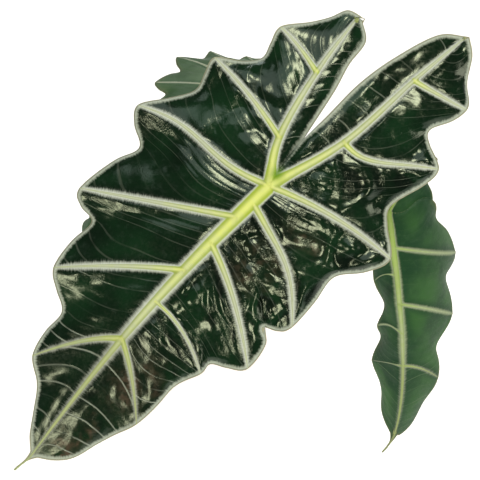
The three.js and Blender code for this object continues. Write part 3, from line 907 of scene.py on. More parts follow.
@dataclass(frozen=True)
class Wrinkles:
    """The fine relief between the ribs, with its widths and heights in millimetres.

    Broad and long say how much of it each half has, by phase. A ledge is a shoulder on the tip side
    of a side vein: side, phase, where it starts and ends along the vein, and its height at both.
    """

    broad: Rows = (
        (0, 0.12), (1.5, 0.2), (2.2, 0.75), (2.9, 0.7), (3.3, 0.45), (4, 0.2), (5, 0.16), (8, 0.12),
    )
    long: Rows = (
        (0, 0.6), (1, 0.75), (2, 1), (2.5, 1.3), (4.5, 1.3), (5.6, 1), (6.5, 0.8), (7.2, 0.6), (9, 0.45),
    )
    broad_sinus: float = 0.15
    long_sinus: float = 0.5
    patch_width: float = 26.0
    bulge_width: float = 16.0
    bulge_rise: float = 3.4
    blister_width: float = 7.5
    crease_width: float = 20.0
    crease_rise: float = 1.2
    fold_width: float = 11.0
    fold_rise: float = 0.5
    twist_width: float = 19.0
    twist: float = 7.0
    ring_pitch: float = 8.2
    swell_width: float = 24.0
    swell_rise: float = 1.3
    cell_rise: float = 0.22
    ledge_rise: float = 1.9
    pleat_phase: float = 4.5
    pleat_rise: float = 2.2
    ledges: Rows = (
        (-1, 2, 0.25, 0.6, 0.6, 0.5), (-1, 3, 0.7, 0.95, 0.6, 0.8),
        (-1, 4, 0.42, 0.94, 1.25, 0.35), (-1, 5, 0.4, 0.85, 0.6, 0.6),
    )


@dataclass
class Blade:
    """One blade with the form of its node, and finer relief and fields for its finish.

    Plan holds u and v of each point of a face, at holds what else is known of the point, and fields
    holds what the finish reads.
    """

    pose: LeafPose
    skin: LeafSkin
    back: LeafBack
    column_step: float
    row_count: int
    sinus_rows: int = 20
    thickness: float = 0.9
    midrib_rise: float = 1.1
    midrib_keel: float = 1.6
    midrib_spread: float = 2.6
    vein_rise: float = 0.8
    vein_keel: float = 0.9
    vein_spread: float = 1.3
    sinus_drop: float = 1.2
    sinus_step: float = 1.5
    thread_count: int = 7
    sinus_threads: int = 4
    sap_spot: tuple[float, float] = (-6.8, -0.6)
    sap_radius: float = 3.2
    wrinkles: Wrinkles = Wrinkles()
    plan: Array = field(default_factory=lambda: np.zeros((0, 2)))
    at: dict[str, Array] = field(default_factory=dict)
    fields: dict[str, Array] = field(default_factory=dict)

    def build(self) -> None:
        """Makes the blade and seats it."""
        faces = self.lay_out()
        self.measure()
        self.draw_threads()
        height, keel = self.relief()
        top = self.pose.bend(self.plan, height)
        thin = 0.55 + 0.45 * smooth_step(self.fields["edge"], 0, 2.5)
        depth = self.thickness * thin + keel * self.pose.scale
        points, quads, places = self.close(top, top - self.normals(top, faces) * depth[:, None], faces)
        name = self.pose.name
        skins = [self.skin.make(f"waxy_leaf_{name}"), self.back.make(f"leaf_underside_{name}")]
        piece = new_piece(f"blade_{name}_leaf", points, quads.tolist(), skins, places)
        for key, values in self.fields.items():
            add_field(piece, key, np.tile(values, 2))
        seat_piece(piece, "blade", f"blade_{name}")

    def known(self, *names: str) -> list[Array]:
        """What is known of each point, by name."""
        return [self.at[name] for name in names]

    def halves(self) -> tuple[tuple[HalfPlan, tuple[float, ...]], ...]:
        """Both halves of the plan, each with the reach of its veins."""
        return (BROAD_HALF, self.pose.reach_broad), (LONG_HALF, self.pose.reach_long)

    def columns(self) -> Array:
        """Places on the midrib that both halves have a column at.

        Returns:
            The places, from the junction to the drip tip's end.
        """
        knots = sorted({*BROAD_HALF.roots, *LONG_HALF.roots, BROAD_HALF.drip_end})
        found = []
        for low, high in zip(knots, knots[1:]):
            count = 10 if low >= BROAD_HALF.drip_start else 1
            for half, _ in self.halves():
                first, last = half.phase(np.array([low, high]))
                arc = curve_at(half.margin, np.linspace(first, last - 1e-6, 12))
                count = max(count, math.ceil(run_along(arc)[-1] / self.column_step))
            found.append(np.linspace(low, high, count, endpoint=False))
        return np.concatenate([*found, [BROAD_HALF.drip_end]])

    def lay_out(self) -> Array:
        """Lays out the columns and rows of both halves in the plan, joined where they meet.

        Returns:
            Quads of the upper face.
        """
        lobe_length = 50
        places = self.columns()
        lobes = np.linspace(0, 3, 3 * math.ceil(lobe_length / self.column_step) + 1)
        plans, known, faces, start = [], [], [], 0
        for half, reach in self.halves():
            outward = (half.side > 0) != self.pose.flip
            phases = np.concatenate([lobes[:-1], half.phase(places)])
            for inner, columns, rows in ((False, phases, self.row_count), (True, lobes, self.sinus_rows)):
                grid = np.meshgrid(columns, np.linspace(0, 1, rows), indexing="ij")
                phase, share = (axis.ravel() for axis in grid)
                plan, length = half.inner(phase, share) if inner else half.outer(phase, share, reach)
                if inner:
                    plan[:rows] = half.outer(phase[:rows], share[:rows], reach)[0]
                quads = grid_quads(len(columns), rows, start)
                faces.append(quads if outward != inner else quads[:, ::-1])
                plans.append(plan)
                flags = [np.full(len(plan), value) for value in (half.side, inner)]
                known.append(np.stack([phase, share, length, *flags], axis=1))
                start += len(plan)
        plan, known = np.concatenate(plans), np.concatenate(known)
        _, first, back = np.unique(np.round(plan, 4), axis=0, return_index=True, return_inverse=True)
        self.plan = plan[first]
        self.at = dict(zip(("phase", "share", "length", "side", "inner"), known[first].T))
        self.at["inner"] = self.at["inner"] > 0.5
        quads = back.ravel()[np.concatenate(faces)]
        return quads[[len(set(q)) >= 3 for q in quads.tolist()]]

    def nearest(self, lines: list[tuple[Array, Array]]) -> tuple[Array, Array]:
        """Distance to the nearest of some lines, and the values carried there.

        Args:
            lines: For each line its plan points, and the values that each point carries.

        Returns:
            Distances, and one row of values a point.
        """
        points, values = (np.concatenate(parts) for parts in zip(*lines))
        tree = KDTree(len(points))
        for k, (u, v) in enumerate(points.tolist()):
            tree.insert((u, v, 0), k)
        tree.balance()
        _, which, gap = zip(*(tree.find((u, v, 0)) for u, v in self.plan.tolist()))
        return np.array(gap), values[list(which)]

    def rib_lines(self) -> tuple[list, list, list]:
        """Midrib and lobe ribs, side veins, and margins, as lines in the plan.

        Returns:
            Three lists of lines with their values. Added lengths keep the runs of two lines apart.
        """
        u = np.linspace(0, BROAD_HALF.drip_end, 900)
        middle = np.stack([u, BROAD_HALF.midrib(u)], axis=1)
        main = [(middle, MIDRIB.values(u, np.clip(u / BROAD_HALF.length, 0, 1)))]
        side, edge = [], []
        for half, reach in self.halves():
            rib = curve_at(half.lobe_rib, np.linspace(3, 0, 500))
            run = run_along(rib)
            main.append((rib, LOBE_RIB.values(-run - 300 * half.side, run / run[-1])))
            share = np.linspace(0, 1, 260)
            for vein in range(1, half.last_phase):
                line, length = half.outer(np.full_like(share, vein), share, reach)
                run = share * length + 37 * vein * half.side
                side.append((line, SIDE_VEIN.values(run, share, self.vein_strength(half, vein))))
            ones = np.ones(2400)
            margin = half.outer(np.linspace(0, half.last_phase + 1, len(ones)), ones, reach)[0]
            sinus = half.inner(np.linspace(0, 3, len(ones)), ones)[0]
            edge += [(margin, run_along(margin)[:, None]), (sinus, (run_along(sinus) + 500)[:, None])]
        return main, side, edge

    def vein_strength(self, half: HalfPlan, vein: int) -> float:
        """Share of a side vein's full width: those of the lobes and near the tip are slighter.

        Args:
            half: The half that the vein is in.
            vein: Number of the vein.

        Returns:
            A factor on its widths.
        """
        for side, number, share in self.pose.faint:
            if (side, number) == (half.side, vein):
                return share
        if half.side > 0 and vein == 6:
            return 0.5
        return 0.85 if vein < 3 or vein == 7 else 1.0

    def measure(self) -> None:
        """Fills the fields of ribs, felt, margin, scorches and sap."""
        (mid_gap, mid), (vein_gap, vein), (edge_gap, edge) = map(self.nearest, self.rib_lines())
        width, felt, size = self.skin.rib_width, self.skin.felt_width, self.pose.scale
        u, v = self.plan.T
        mid_out = (mid_gap - mid[:, 1] * width) / (mid[:, 2] * felt)
        vein_out = (vein_gap - vein[:, 1] * width) / (vein[:, 2] * felt)
        nearer = mid_out < vein_out
        thinned, dulled = smooth_step(u, 85, 150), smooth_step(u, 70, 135)
        half = mid[:, 1] * width
        self.at.update(mid_gap=mid_gap, vein_gap=vein_gap, vein_share=vein[:, 4], mid_half=half)
        seam = self.at["inner"] * smooth_step(self.at["phase"], 2.0, 2.7)
        scorch = np.zeros_like(u)
        for at_u, at_v, deep, wide in self.pose.scorches:
            scorch = np.maximum(scorch, np.exp(-(((u - at_u) / deep) ** 2) - ((v - at_v) / wide) ** 2))
        ragged = 0.5 + 0.9 * noise_at(self.plan, 6, self.pose.seed + 2, 2)
        self.fields.update(
            core=np.minimum(mid_gap / mid[:, 1], vein_gap / vein[:, 1]) / width,
            hair=np.minimum(mid_out, vein_out) + 0.42 * thinned,
            dull=dulled,
            run=np.where(nearer, mid[:, 0], vein[:, 0]) * size,
            fade=np.where(nearer, mid[:, 3], vein[:, 3]),
            edge=edge_gap * size + 2.2 * seam,
            edge_run=edge[:, 0] * size,
            sap=0.85 * hump(np.hypot(u - self.sap_spot[0], v - self.sap_spot[1]), self.sap_radius),
            scorch=np.clip(scorch * ragged, 0, 0.8),
        )

    def draw_threads(self) -> None:
        """Fills the fields of the thin veins, which leave the ribs and bend back to the margin."""
        phase, share, inner, side = self.known("phase", "share", "inner", "side")
        long_side = side > 0
        last = np.where(long_side, LONG_HALF.last_phase, BROAD_HALF.last_phase)
        bend = np.where(phase > last - 1, 0.24 * share, 0.5 * share**2.2)
        bend = np.where(inner, -0.12 * share**2, bend)
        wobble = noise_at(self.plan, 22, self.pose.seed + 5) * 0.35
        count = np.where(inner, self.sinus_threads, self.thread_count)
        # Distances between the side veins, at their roots and at the margin, give the threads' pitch.
        root = on_line(phase, ((3, 31), (4, 22), (5, 37), (6, 46), (7, 60)))
        rim = on_line(phase, ((0, 38), (3, 40), (6, 36), (8, 40)))
        pitch = np.where(inner, 33, root + (rim - root) * share)
        # The threads are plain near the drip tip and in the lobes, and faint elsewhere.
        near = np.where(inner, 0.45, np.where(long_side, 0.18, 0.16))
        near = np.maximum(smooth_step(self.plan[:, 0], 70, 125), near)
        self.fields.update(
            thread=(phase + bend) * count + wobble + 40 * long_side + 90 * inner,
            thread_gap=pitch * self.pose.scale / count,
            thread_near=near * np.where(phase > 8.05, 0, 1),
        )

    def relief(self) -> tuple[Array, Array]:
        """Heights of the upper face above the smooth blade, and the ribs' depth below it.

        Returns:
            Height and keel of each point, in millimetres.
        """
        phase, share, length, side, inner = self.known("phase", "share", "length", "side", "inner")
        mid_gap, vein_gap = self.known("mid_gap", "vein_gap")
        # The margin waves up at each vein, the sinus steps down and the panels puff up.
        taper = np.clip(length / 25, 0, 1)
        step = self.sinus_step * side * np.clip((3 - phase) / 0.4, 0, 1)
        waved = self.pose.wave * np.cos(2 * np.pi * phase) * taper
        wave = share**2 * np.where(inner, step - self.sinus_drop, waved)
        puff = np.where(inner, 0.6, np.sin(np.pi * phase) ** 2)
        quilt = self.pose.quilt * puff * np.sin(np.pi * share) ** 0.8 * taper
        # The midrib sinks towards the tip, and the side veins towards the margin.
        onset = np.clip(1 - np.maximum(0, phase - 3) / 9, 0, 1)
        on_midrib = hump(mid_gap, self.midrib_spread) * onset
        round_rib = np.sqrt(np.clip(1 - (mid_gap / self.at["mid_half"]) ** 2, 0, 1)) * onset
        ridge = hump(vein_gap, self.vein_spread) * (1 - 0.6 * self.at["vein_share"])
        on_vein = ridge * np.clip(mid_gap / 3, 0, 1)
        ribs = self.vein_rise * on_vein + self.midrib_rise * (0.5 * on_midrib + 0.6 * round_rib)
        keel = self.vein_keel * on_vein + self.midrib_keel * on_midrib
        return wave + quilt + ribs + self.crumple(), keel * smooth_step(self.fields["edge"], 0.5, 6)

    def crumple(self) -> Array:
        """Blisters and creases between the ribs, and the pleat beside one side vein.

        Returns:
            Height of each point, in millimetres.
        """
        form, plan, seed, crinkle = self.wrinkles, self.plan, self.pose.seed, self.pose.crinkle
        phase, share, inner, side = self.known("phase", "share", "inner", "side")
        long_side = side > 0
        hair = self.fields["hair"]
        # Nothing is crumpled under the felt or at the margin.
        clear = smooth_step(hair, 0.1, 1.6) * smooth_step(self.fields["edge"], 1.0, 5.0)
        long = np.where(inner, form.long_sinus, on_line(phase, form.long))
        region = np.where(long_side, long, np.where(inner, form.broad_sinus, on_line(phase, form.broad)))
        patches = 0.35 + 0.75 * smooth_step(noise_at(plan, form.patch_width, seed + 9), -0.3, 0.3)
        amount = crinkle * region * patches * clear
        ledge = self.ledge(long_side)
        # The blisters of the rear lobes are the highest, and rings lie between the middle veins.
        small = 0.7 + 1.1 * smooth_step(-phase, -2.4, -1.6)
        bulge = np.abs(noise_at(plan, form.bulge_width, seed)) * form.bulge_rise
        bulge += np.abs(noise_at(plan, form.blister_width, seed + 3)) * small - 0.8
        creases = self.creases(smooth_step(phase, 3.9, 4.3) * 0.6)
        wrinkled = smooth_step(noise_at(plan, 24, seed + 13), -0.4, -0.05) * long_side
        # The blade puffs up between its thin veins, and swells less near the tip.
        cell = np.abs(np.sin(np.pi * self.fields["thread"])) ** 0.8
        swell = form.swell_rise * (1 - 0.8 * smooth_step(phase, 5.8, 6.8)) * np.where(long_side, 1, 0.7)
        # The pleat rises to its phase and then drops at once.
        near = hump(phase - form.pleat_phase + 0.06, 0.12) * long_side * smooth_step(share, 0.55, 1.0)
        drop = smooth_step(phase, form.pleat_phase, form.pleat_phase + 0.03)
        self.fields["crinkle"] = np.clip(amount + 0.8 * np.sqrt(np.minimum(ledge, 1)) * clear, 0, 1)
        # Painted shade: where the creases sink into valleys, the finish darkens the colour.
        self.fields["crease_shade"] = np.clip(amount, 0, 1) * wrinkled * smooth_step(-creases, -0.75, -0.1)
        height = amount * (bulge * (1 - 0.8 * wrinkled) + creases * wrinkled)
        height += form.cell_rise * cell * clear * (0.4 + 0.6 * self.fields["thread_near"])
        height += noise_at(plan, form.swell_width, seed + 6) * swell * clear * (0.35 + 0.65 * crinkle)
        height += form.ledge_rise * ledge * smooth_step(hair, -0.2, 1.2) * crinkle
        return height + form.pleat_rise * near * (1 - 1.6 * drop) * crinkle

    def creases(self, ringed: Array) -> Array:
        """Sharp creases, and rings round the ribs.

        Args:
            ringed: Share of the rings at each point.

        Returns:
            Height of each point, in millimetres.
        """
        form, seed = self.wrinkles, self.pose.seed
        warp = noise_at(self.plan, form.twist_width, seed + 4) * form.twist
        bent = self.plan + np.stack([warp, -warp], axis=1)
        crease = form.crease_rise * hump(noise_at(bent, form.crease_width, seed + 1), 0.2)
        fold = form.fold_rise * hump(noise_at(bent, form.fold_width, seed + 8), 0.22)
        gap = np.minimum(*self.known("mid_gap", "vein_gap"))
        turns = gap / form.ring_pitch + 1.1 * noise_at(self.plan, 17, seed + 4)
        return (crease + fold) * (1 - ringed) + (0.5 + 0.5 * np.sin(2 * np.pi * turns)) * ringed

    def ledge(self, long_side: Array) -> Array:
        """Shoulders that fall away from the tip side of some side veins.

        Args:
            long_side: Whether each point is on the long side.

        Returns:
            Height of each point, about 1 beside such a vein and 0 away from it.
        """
        phase, share, total = self.at["phase"], self.at["share"], np.zeros(len(self.plan))
        for side, place, low, high, rise_low, rise_high in self.wrinkles.ledges:
            fall = np.clip(1 - (phase - place - 0.03) / 0.2, 0, 1) * (phase >= place)
            rise = on_line(share, ((low, rise_low), (high, rise_high)))
            rise *= smooth_step(share, low - 0.12, low + 0.05)
            rise *= smooth_step(-share, -high - 0.08, -high + 0.06)
            total += fall * rise * ((long_side == (side > 0)) & ~self.at["inner"])
        return total

    def normals(self, points: Array, faces: Array) -> Array:
        """Unit normals of a quad mesh.

        Args:
            points: Vertex places.
            faces: Quads.

        Returns:
            One normal a point.
        """
        cross = np.cross(points[faces[:, 2]] - points[faces[:, 0]], points[faces[:, 3]] - points[faces[:, 1]])
        total = np.zeros_like(points)
        for k in range(4):
            np.add.at(total, faces[:, k], cross)
        return total / np.maximum(np.linalg.norm(total, axis=1, keepdims=True), 1e-9)

    def close(self, top: Array, lower: Array, faces: Array) -> tuple[Array, Array, Array]:
        """Joins the upper and the lower face by a rim.

        Args:
            top: Points of the upper face.
            lower: Points of the lower face.
            faces: Quads of the upper face.

        Returns:
            All points, all quads, and the material place of each quad.
        """
        count = len(top)
        edges = np.concatenate([faces[:, [k, (k + 1) % 4]] for k in range(4)])
        edges = edges[edges[:, 0] != edges[:, 1]]
        forward, back = edges @ (count, 1), edges @ (1, count)
        rim = edges[~np.isin(back, forward)]
        walls = np.stack([rim[:, 1], rim[:, 0], rim[:, 0] + count, rim[:, 1] + count], axis=1)
        quads = np.concatenate([faces, faces[:, ::-1] + count, walls])
        parts = ((Face.UPPER, faces), (Face.UNDER, faces), (Face.UPPER, walls))
        places = np.concatenate([np.full(len(part), face.value) for face, part in parts])
        return np.concatenate([top, lower]), quads, places


@dataclass(frozen=True)
class StalkSkin:
    """Smooth plant epidermis: satin yellow green, with brown purple mottling towards the soil."""

    green: str = "#8fa85c"
    foot: str = "#5b4636"
    mottle: str = "#6a5a3c"
    roughness: float = 0.38
    stretch: float = 0.22

    def make(self) -> Material:
        """Builds the material, with blots 3.5 mm and lines 0.9 mm wide, drawn out upwards.

        Returns:
            The material.
        """
        mix = Mixture("stalk_epidermis")
        rise, drawn = mix.read("rise"), mix.drawn_out(1, 1, self.stretch)
        low = mix.slope(rise, 0.0, 0.75, 0.62, 0.42)
        spots = mix.maths("SUBTRACT", low, mix.noise(3.5, 4.0, drawn))
        colour = mix.blend(mix.slope(spots, -0.02, 0.06, 0, 0.75), self.green, self.mottle)
        colour = mix.blend(mix.slope(rise, 0.0, 0.22, 0.8, 0), colour, self.foot)
        bump = mix.bump(mix.noise(0.9, 2.0, drawn), 0.5, 0.2)
        return mix.shade(colour, self.roughness, Normal=bump, IOR=1.45)


@dataclass
class Stalk:
    """One stalk: a curved stem with an open sheath at its foot and a knee under its blade."""

    pose: LeafPose
    skin: Material
    foot_radius: float = 5.0
    top_radius: float = 2.7
    start: float = 92.0
    ring: float = 9.35
    seat_gap: float = 1.25
    sides: int = 36
    steps: int = 150
    overlap: float = 1.2

    def radius(self, share: Array) -> Array:
        """Radius of the stalk, which narrows upwards to a knee just under the blade.

        Args:
            share: Shares of the stalk's length.

        Returns:
            The radius at each of them.
        """
        size = 0.55 + 0.45 * self.pose.scale
        body = self.foot_radius + (self.top_radius - self.foot_radius) * np.asarray(share) ** 0.7
        return (body + 0.5 * hump(share - 0.97, 0.03)) * size

    def outward(self) -> Array:
        """Level direction in which the stalk leaves the crown."""
        bearing = math.radians(self.pose.base)
        return np.array([math.cos(bearing), math.sin(bearing), 0])

    def path(self) -> Array:
        """Centre line from the soil to the blade.

        Returns:
            Places at even steps.
        """
        up, outward, pose = self.pose.frame()[2], self.outward(), self.pose
        foot = outward * (self.ring + self.radius(0.0)) + [0, 0, self.start]
        fold = max(pose.fold_broad, pose.fold_long)
        seat = self.seat_gap + 0.5 * pose.scale + 0.1 * self.top_radius * fold + 0.13 * pose.lobe_droop
        end = np.array(pose.junction) - up * seat
        rise = np.linalg.norm(end - foot)
        # The curve leaves the crown almost upright and meets the blade square to it.
        lower = foot + outward * rise * 0.04 + [0, 0, rise * 0.42]
        upper = end - up * rise * 0.3
        t = np.linspace(0, 1, 600)[:, None]
        line = (1 - t) ** 3 * foot + 3 * t * (1 - t) ** 2 * lower + 3 * t**2 * (1 - t) * upper + t**3 * end
        run = run_along(line)
        even = np.linspace(0, run[-1], self.steps + 1)
        line = np.stack([np.interp(even, run, axis) for axis in line.T], axis=1)
        line[-1] += up * self.overlap
        return line

    def build(self) -> None:
        """Makes the stalk and seats it."""
        line = self.path()
        share = np.linspace(0, 1, len(line))
        tangent = np.gradient(line, axis=0)
        tangent /= np.linalg.norm(tangent, axis=1, keepdims=True)
        inward = -self.outward()
        side = inward - tangent * (tangent @ inward)[:, None]
        side /= np.linalg.norm(side, axis=1, keepdims=True)
        turn = np.linspace(-math.pi, math.pi, self.sides, endpoint=False)[:, None]
        sheath = smooth_step(-share, -0.34, -0.12)
        lips = hump(np.abs(turn) - 0.55, 0.2) * 0.9 - hump(turn, 0.32) * 1.3
        radius = self.radius(share) + sheath * lips + 0.05 * np.cos(9 * turn)
        across, along = (radius * wave(turn) for wave in (np.cos, np.sin))
        points = line + across[..., None] * side + along[..., None] * np.cross(tangent, side)
        name = f"stalk_{self.pose.name}"
        piece = new_piece(f"{name}_stem", points.reshape(-1, 3), capped(self.sides, len(line)), [self.skin])
        add_field(piece, "rise", np.tile(share, self.sides))
        seat_piece(piece, "stalk", name)


@dataclass(frozen=True)
class CrownBark:
    """Corky skin of the rootstock: dull brown with paler leaf scars."""

    bark: str = "#5d4530"
    scar: str = "#8a7350"
    roughness: float = 0.85

    def make(self) -> Material:
        """Builds the material, with rings 1.6 mm high drawn out round the crown.

        Returns:
            The material.
        """
        mix = Mixture("rootstock_cork")
        rings = mix.noise(1.6, 4.0, mix.drawn_out(0.3, 0.3, 1))
        colour = mix.blend(mix.slope(rings, 0.42, 0.62), self.bark, self.scar)
        return mix.shade(colour, self.roughness, Normal=mix.bump(rings, 0.9, 0.6))


@dataclass
class Rootstock:
    """The crown that the stalks grow round, with the scars of older leaves."""

    bark: Material
    radius: float = 9.0
    bottom: float = 84.0
    top: float = 121.0
    sides: int = 72
    rows: int = 90
    scar_depth: float = 0.35

    def build(self) -> None:
        """Makes the rootstock and seats it."""
        r, level = self.radius, SOIL_LEVEL
        profile = np.array([
            (0.02, self.bottom), (r * 0.7, self.bottom), (r, self.bottom + 5), (r, level + 2),
            (r * 0.93, level + 6), (r * 0.97, level + 8), (r * 0.8, level + 11), (r * 0.72, level + 12),
            (r * 0.35, self.top - 1.5), (0.02, self.top),
        ])
        run = run_along(profile)
        even = np.linspace(0, run[-1], self.rows)
        points = turned(*(np.interp(even, run, axis) for axis in profile.T), self.sides).reshape(-1, 3)
        tilted = points[:, 2] * 0.95 + 0.8 * np.sin(np.arctan2(points[:, 1], points[:, 0]))
        rough = (0.5 * noise_at(points, 3.0, 4.4, 3)).clip(-0.4, 0.4)
        sunk = 0.45 + self.scar_depth * np.abs(np.sin(tilted)) + rough
        points[:, :2] *= (1 - sunk / self.radius)[:, None]
        faces = grid_quads(self.sides, self.rows, closed=True).tolist()
        seat_piece(new_piece("rootstock_crown", points, faces, [self.bark]), "rootstock_bark", "rootstock")


@dataclass(frozen=True)
class PottingMix:
    """Damp peat: near-black brown crumb, matt, with drier patches."""

    peat: str = "#2a1d14"
    dry: str = "#4b3826"
    roughness: float = 0.95

    def make(self) -> Material:
        """Builds the material. Peat's crumb is finer than this, and is drawn 1.8 mm wide.

        Returns:
            The material.
        """
        mix = Mixture("damp_peat")
        crumb = mix.noise(1.8, 5.0)
        colour = mix.blend(mix.slope(mix.times(crumb, mix.noise(20, 2.0)), 0.17, 0.36), self.peat, self.dry)
        return mix.shade(colour, self.roughness, Normal=mix.bump(crumb, 1.0, 0.9))


@dataclass(frozen=True)
class GrainFinish:
    """One sort of loose grain in the potting mix, matt and slightly uneven in colour."""

    name: str
    light: str
    dark: str
    roughness: float

    def make(self) -> Material:
        """Builds the material, specked every 2.5 mm.

        Returns:
            The material.
        """
        mix = Mixture(self.name)
        speck = mix.noise(2.5, 3.0)
        colour = mix.blend(mix.slope(speck, 0.35, 0.65), self.dark, self.light)
        return mix.shade(colour, self.roughness, Normal=mix.bump(speck, 0.7, 0.4))


# White heated glass, light and dusty; bark that has darkened in compost; and balls of damp peat.
PERLITE = GrainFinish("expanded_perlite", light="#e9e6dc", dark="#b9b3a2", roughness=0.9)
BARK = GrainFinish("composted_bark", light="#6f4d30", dark="#3a2517", roughness=0.85)
CRUMB = GrainFinish("peat_crumb", light="#3c2a1c", dark="#20150e", roughness=0.95)


@dataclass(frozen=True)
class Grains:
    """One sort of loose grain: sizes are its least and most width, flat its height's share of that."""

    name: str
    count: int
    sizes: tuple[float, float]
    flat: float
    finish: GrainFinish


@dataclass
class Soil:
    """The potting mix, with its crumbly top and the loose grains that lie on it."""

    mix: Material
    mound: float = 5.0
    lump: float = 1.3
    floor: float = 8.35
    low_radius: float = 39.5
    low_step: float = 12.5
    wall_gap: float = 0.35
    crown_clearance: float = 11.0
    sides: int = 220
    rings: int = 70
    seed: int = 8
    sorts: tuple[Grains, ...] = (
        Grains("perlite_grains", 150, (1.0, 2.6), 0.8, PERLITE),
        Grains("bark_chips", 170, (1.6, 4.6), 0.32, BARK),
        Grains("peat_crumbs", 520, (0.8, 2.2), 0.75, CRUMB),
    )

    def height(self, plan: Array) -> Array:
        """Height of the soil's top.

        Args:
            plan: x and y of each place.

        Returns:
            One height a place.
        """
        radius, turn = np.hypot(*plan.T), np.arctan2(plan[:, 1], plan[:, 0])
        lumps = np.sin(radius * 0.31 + 3 * turn) * np.cos(5 * turn - radius * 0.17)
        rise = self.mound * (1 - (radius / bore(SOIL_LEVEL)) ** 2)
        crumb = 0.9 * noise_at(plan, 7, 2.2, 3) + 0.5 * np.abs(noise_at(plan, 2.6, 6.1))
        return SOIL_LEVEL + rise + self.lump * lumps * np.clip(radius / 12, 0, 1) + crumb - 0.3

    def build(self) -> None:
        """Makes the soil and its loose grains, and seats them."""
        rim = bore(SOIL_LEVEL) - self.wall_gap
        profile = [
            *((radius, 0) for radius in np.linspace(0.01, rim, self.rings)), (rim, SOIL_LEVEL - 3),
            (self.low_radius + 3, self.low_step), (self.low_radius, self.floor), (0.01, self.floor),
        ]
        points = turned(*np.array(profile).T, self.sides)
        top = points[:, : self.rings]
        top[..., 2] = self.height(top[..., :2].reshape(-1, 2)).reshape(top.shape[:2])
        points[:, 0, 2] = points[:, 1, 2].mean()
        faces = grid_quads(self.sides, len(profile), closed=True)[:, ::-1].tolist()
        fill = new_piece("soil_fill", points.reshape(-1, 3), faces, [self.mix])
        seat_piece(fill, "potting_soil", "soil")
        for sort in self.sorts:
            self.scatter(sort)

    def scatter(self, sort: Grains) -> None:
        """Scatters one sort of loose grain.

        Args:
            sort: The sort.
        """
        rng = random.Random(self.seed + sort.count)
        points, faces = [], []
        form, form_faces = self.pebble()
        for _ in range(sort.count):
            far = math.sqrt(rng.random()) * (bore(SOIL_LEVEL) - 4)
            turn = rng.random() * 2 * math.pi
            x, y = far * math.cos(turn), far * math.sin(turn)
            if far < self.crown_clearance:
                continue
            size = rng.uniform(*sort.sizes)
            spin = Matrix.Rotation(rng.random() * 6.28, 3, "Z")
            spin @= Matrix.Rotation(rng.uniform(-0.6, 0.6), 3, "X")
            stretch = np.array([1, rng.uniform(0.55, 1.0), sort.flat * rng.uniform(0.7, 1.2)])
            rough = 1 + 0.3 * noise_at(form * 2.0, 1.2, rng.random() * 50)
            body = (form * rough[:, None] * stretch * size / 2) @ np.array(spin).T
            z = self.height(np.array([(x, y)]))[0] + size * sort.flat * 0.18
            faces += [[i + len(points) * len(form) for i in face] for face in form_faces]
            points.append(body + [x, y, z])
        seat_piece(new_piece(sort.name, np.concatenate(points), faces, [sort.finish.make()]), "potting_soil")

    def pebble(self) -> tuple[Array, list[list[int]]]:
        """A small round form, one across.

        Returns:
            Its points and its faces.
        """
        turns, levels = 7, 5
        level, column = np.meshgrid(np.arange(1, levels), np.arange(turns), indexing="ij")
        tilt, turn = math.pi * level / levels, 2 * math.pi * (column + 0.5 * (level % 2)) / turns
        wall = np.stack([np.sin(tilt) * np.cos(turn), np.sin(tilt) * np.sin(turn), np.cos(tilt)], axis=-1)
        points = np.concatenate([wall.reshape(-1, 3), [(0, 0, 1), (0, 0, -1)]])
        foot, last = len(points) - 1, (levels - 2) * turns
        faces = []
        for j, after in ((j, (j + 1) % turns) for j in range(turns)):
            faces += [[k + j, k + turns + j, k + turns + after, k + after] for k in range(0, last, turns)]
            faces += [[foot - 1, j, after], [foot, last + after, last + j]]
        return points, faces


@dataclass(frozen=True)
class Terracotta:
    """Unglazed fired clay, thrown and fettled: matt orange brown with grit and a chalky bloom."""

    clay: str = "#b4643f"
    fired: str = "#9a4d2f"
    pale: str = "#d09a78"
    bloom: str = "#ddcdbd"
    roughness: float = 0.88

    def make(self) -> Material:
        """Builds the material: clouds of 40 mm, grit of 1.1 mm, rings of 3 mm and chalk of 14 mm.

        Returns:
            The material.
        """
        mix = Mixture("unglazed_terracotta")
        # Fired clay's grit is about 0.3 mm, finer than a pixel, and is drawn 1.1 mm wide.
        grit, rings = mix.noise(1.1, 3.0), mix.noise(3, 3.0, mix.drawn_out(0.04, 0.04, 1))
        colour = mix.blend(mix.slope(mix.noise(40, 4.0), 0.35, 0.65), self.fired, self.clay)
        colour = mix.blend(mix.slope(grit, 0.6, 0.75, 0, 0.5), colour, self.pale)
        rise = mix.add("ShaderNodeSeparateXYZ", {0: mix.place}).outputs[2]
        chalk = mix.plus(mix.noise(14, 6.0), mix.slope(rise, 0.004, 0.055, 0.26, 0))
        colour = mix.blend(mix.slope(chalk, 0.6, 0.82, 0, 0.6), colour, self.bloom)
        bump = mix.bump(mix.maths("MULTIPLY_ADD", rings, 0.6, grit), 0.7, 0.4)
        return mix.shade(colour, self.roughness, Normal=bump)


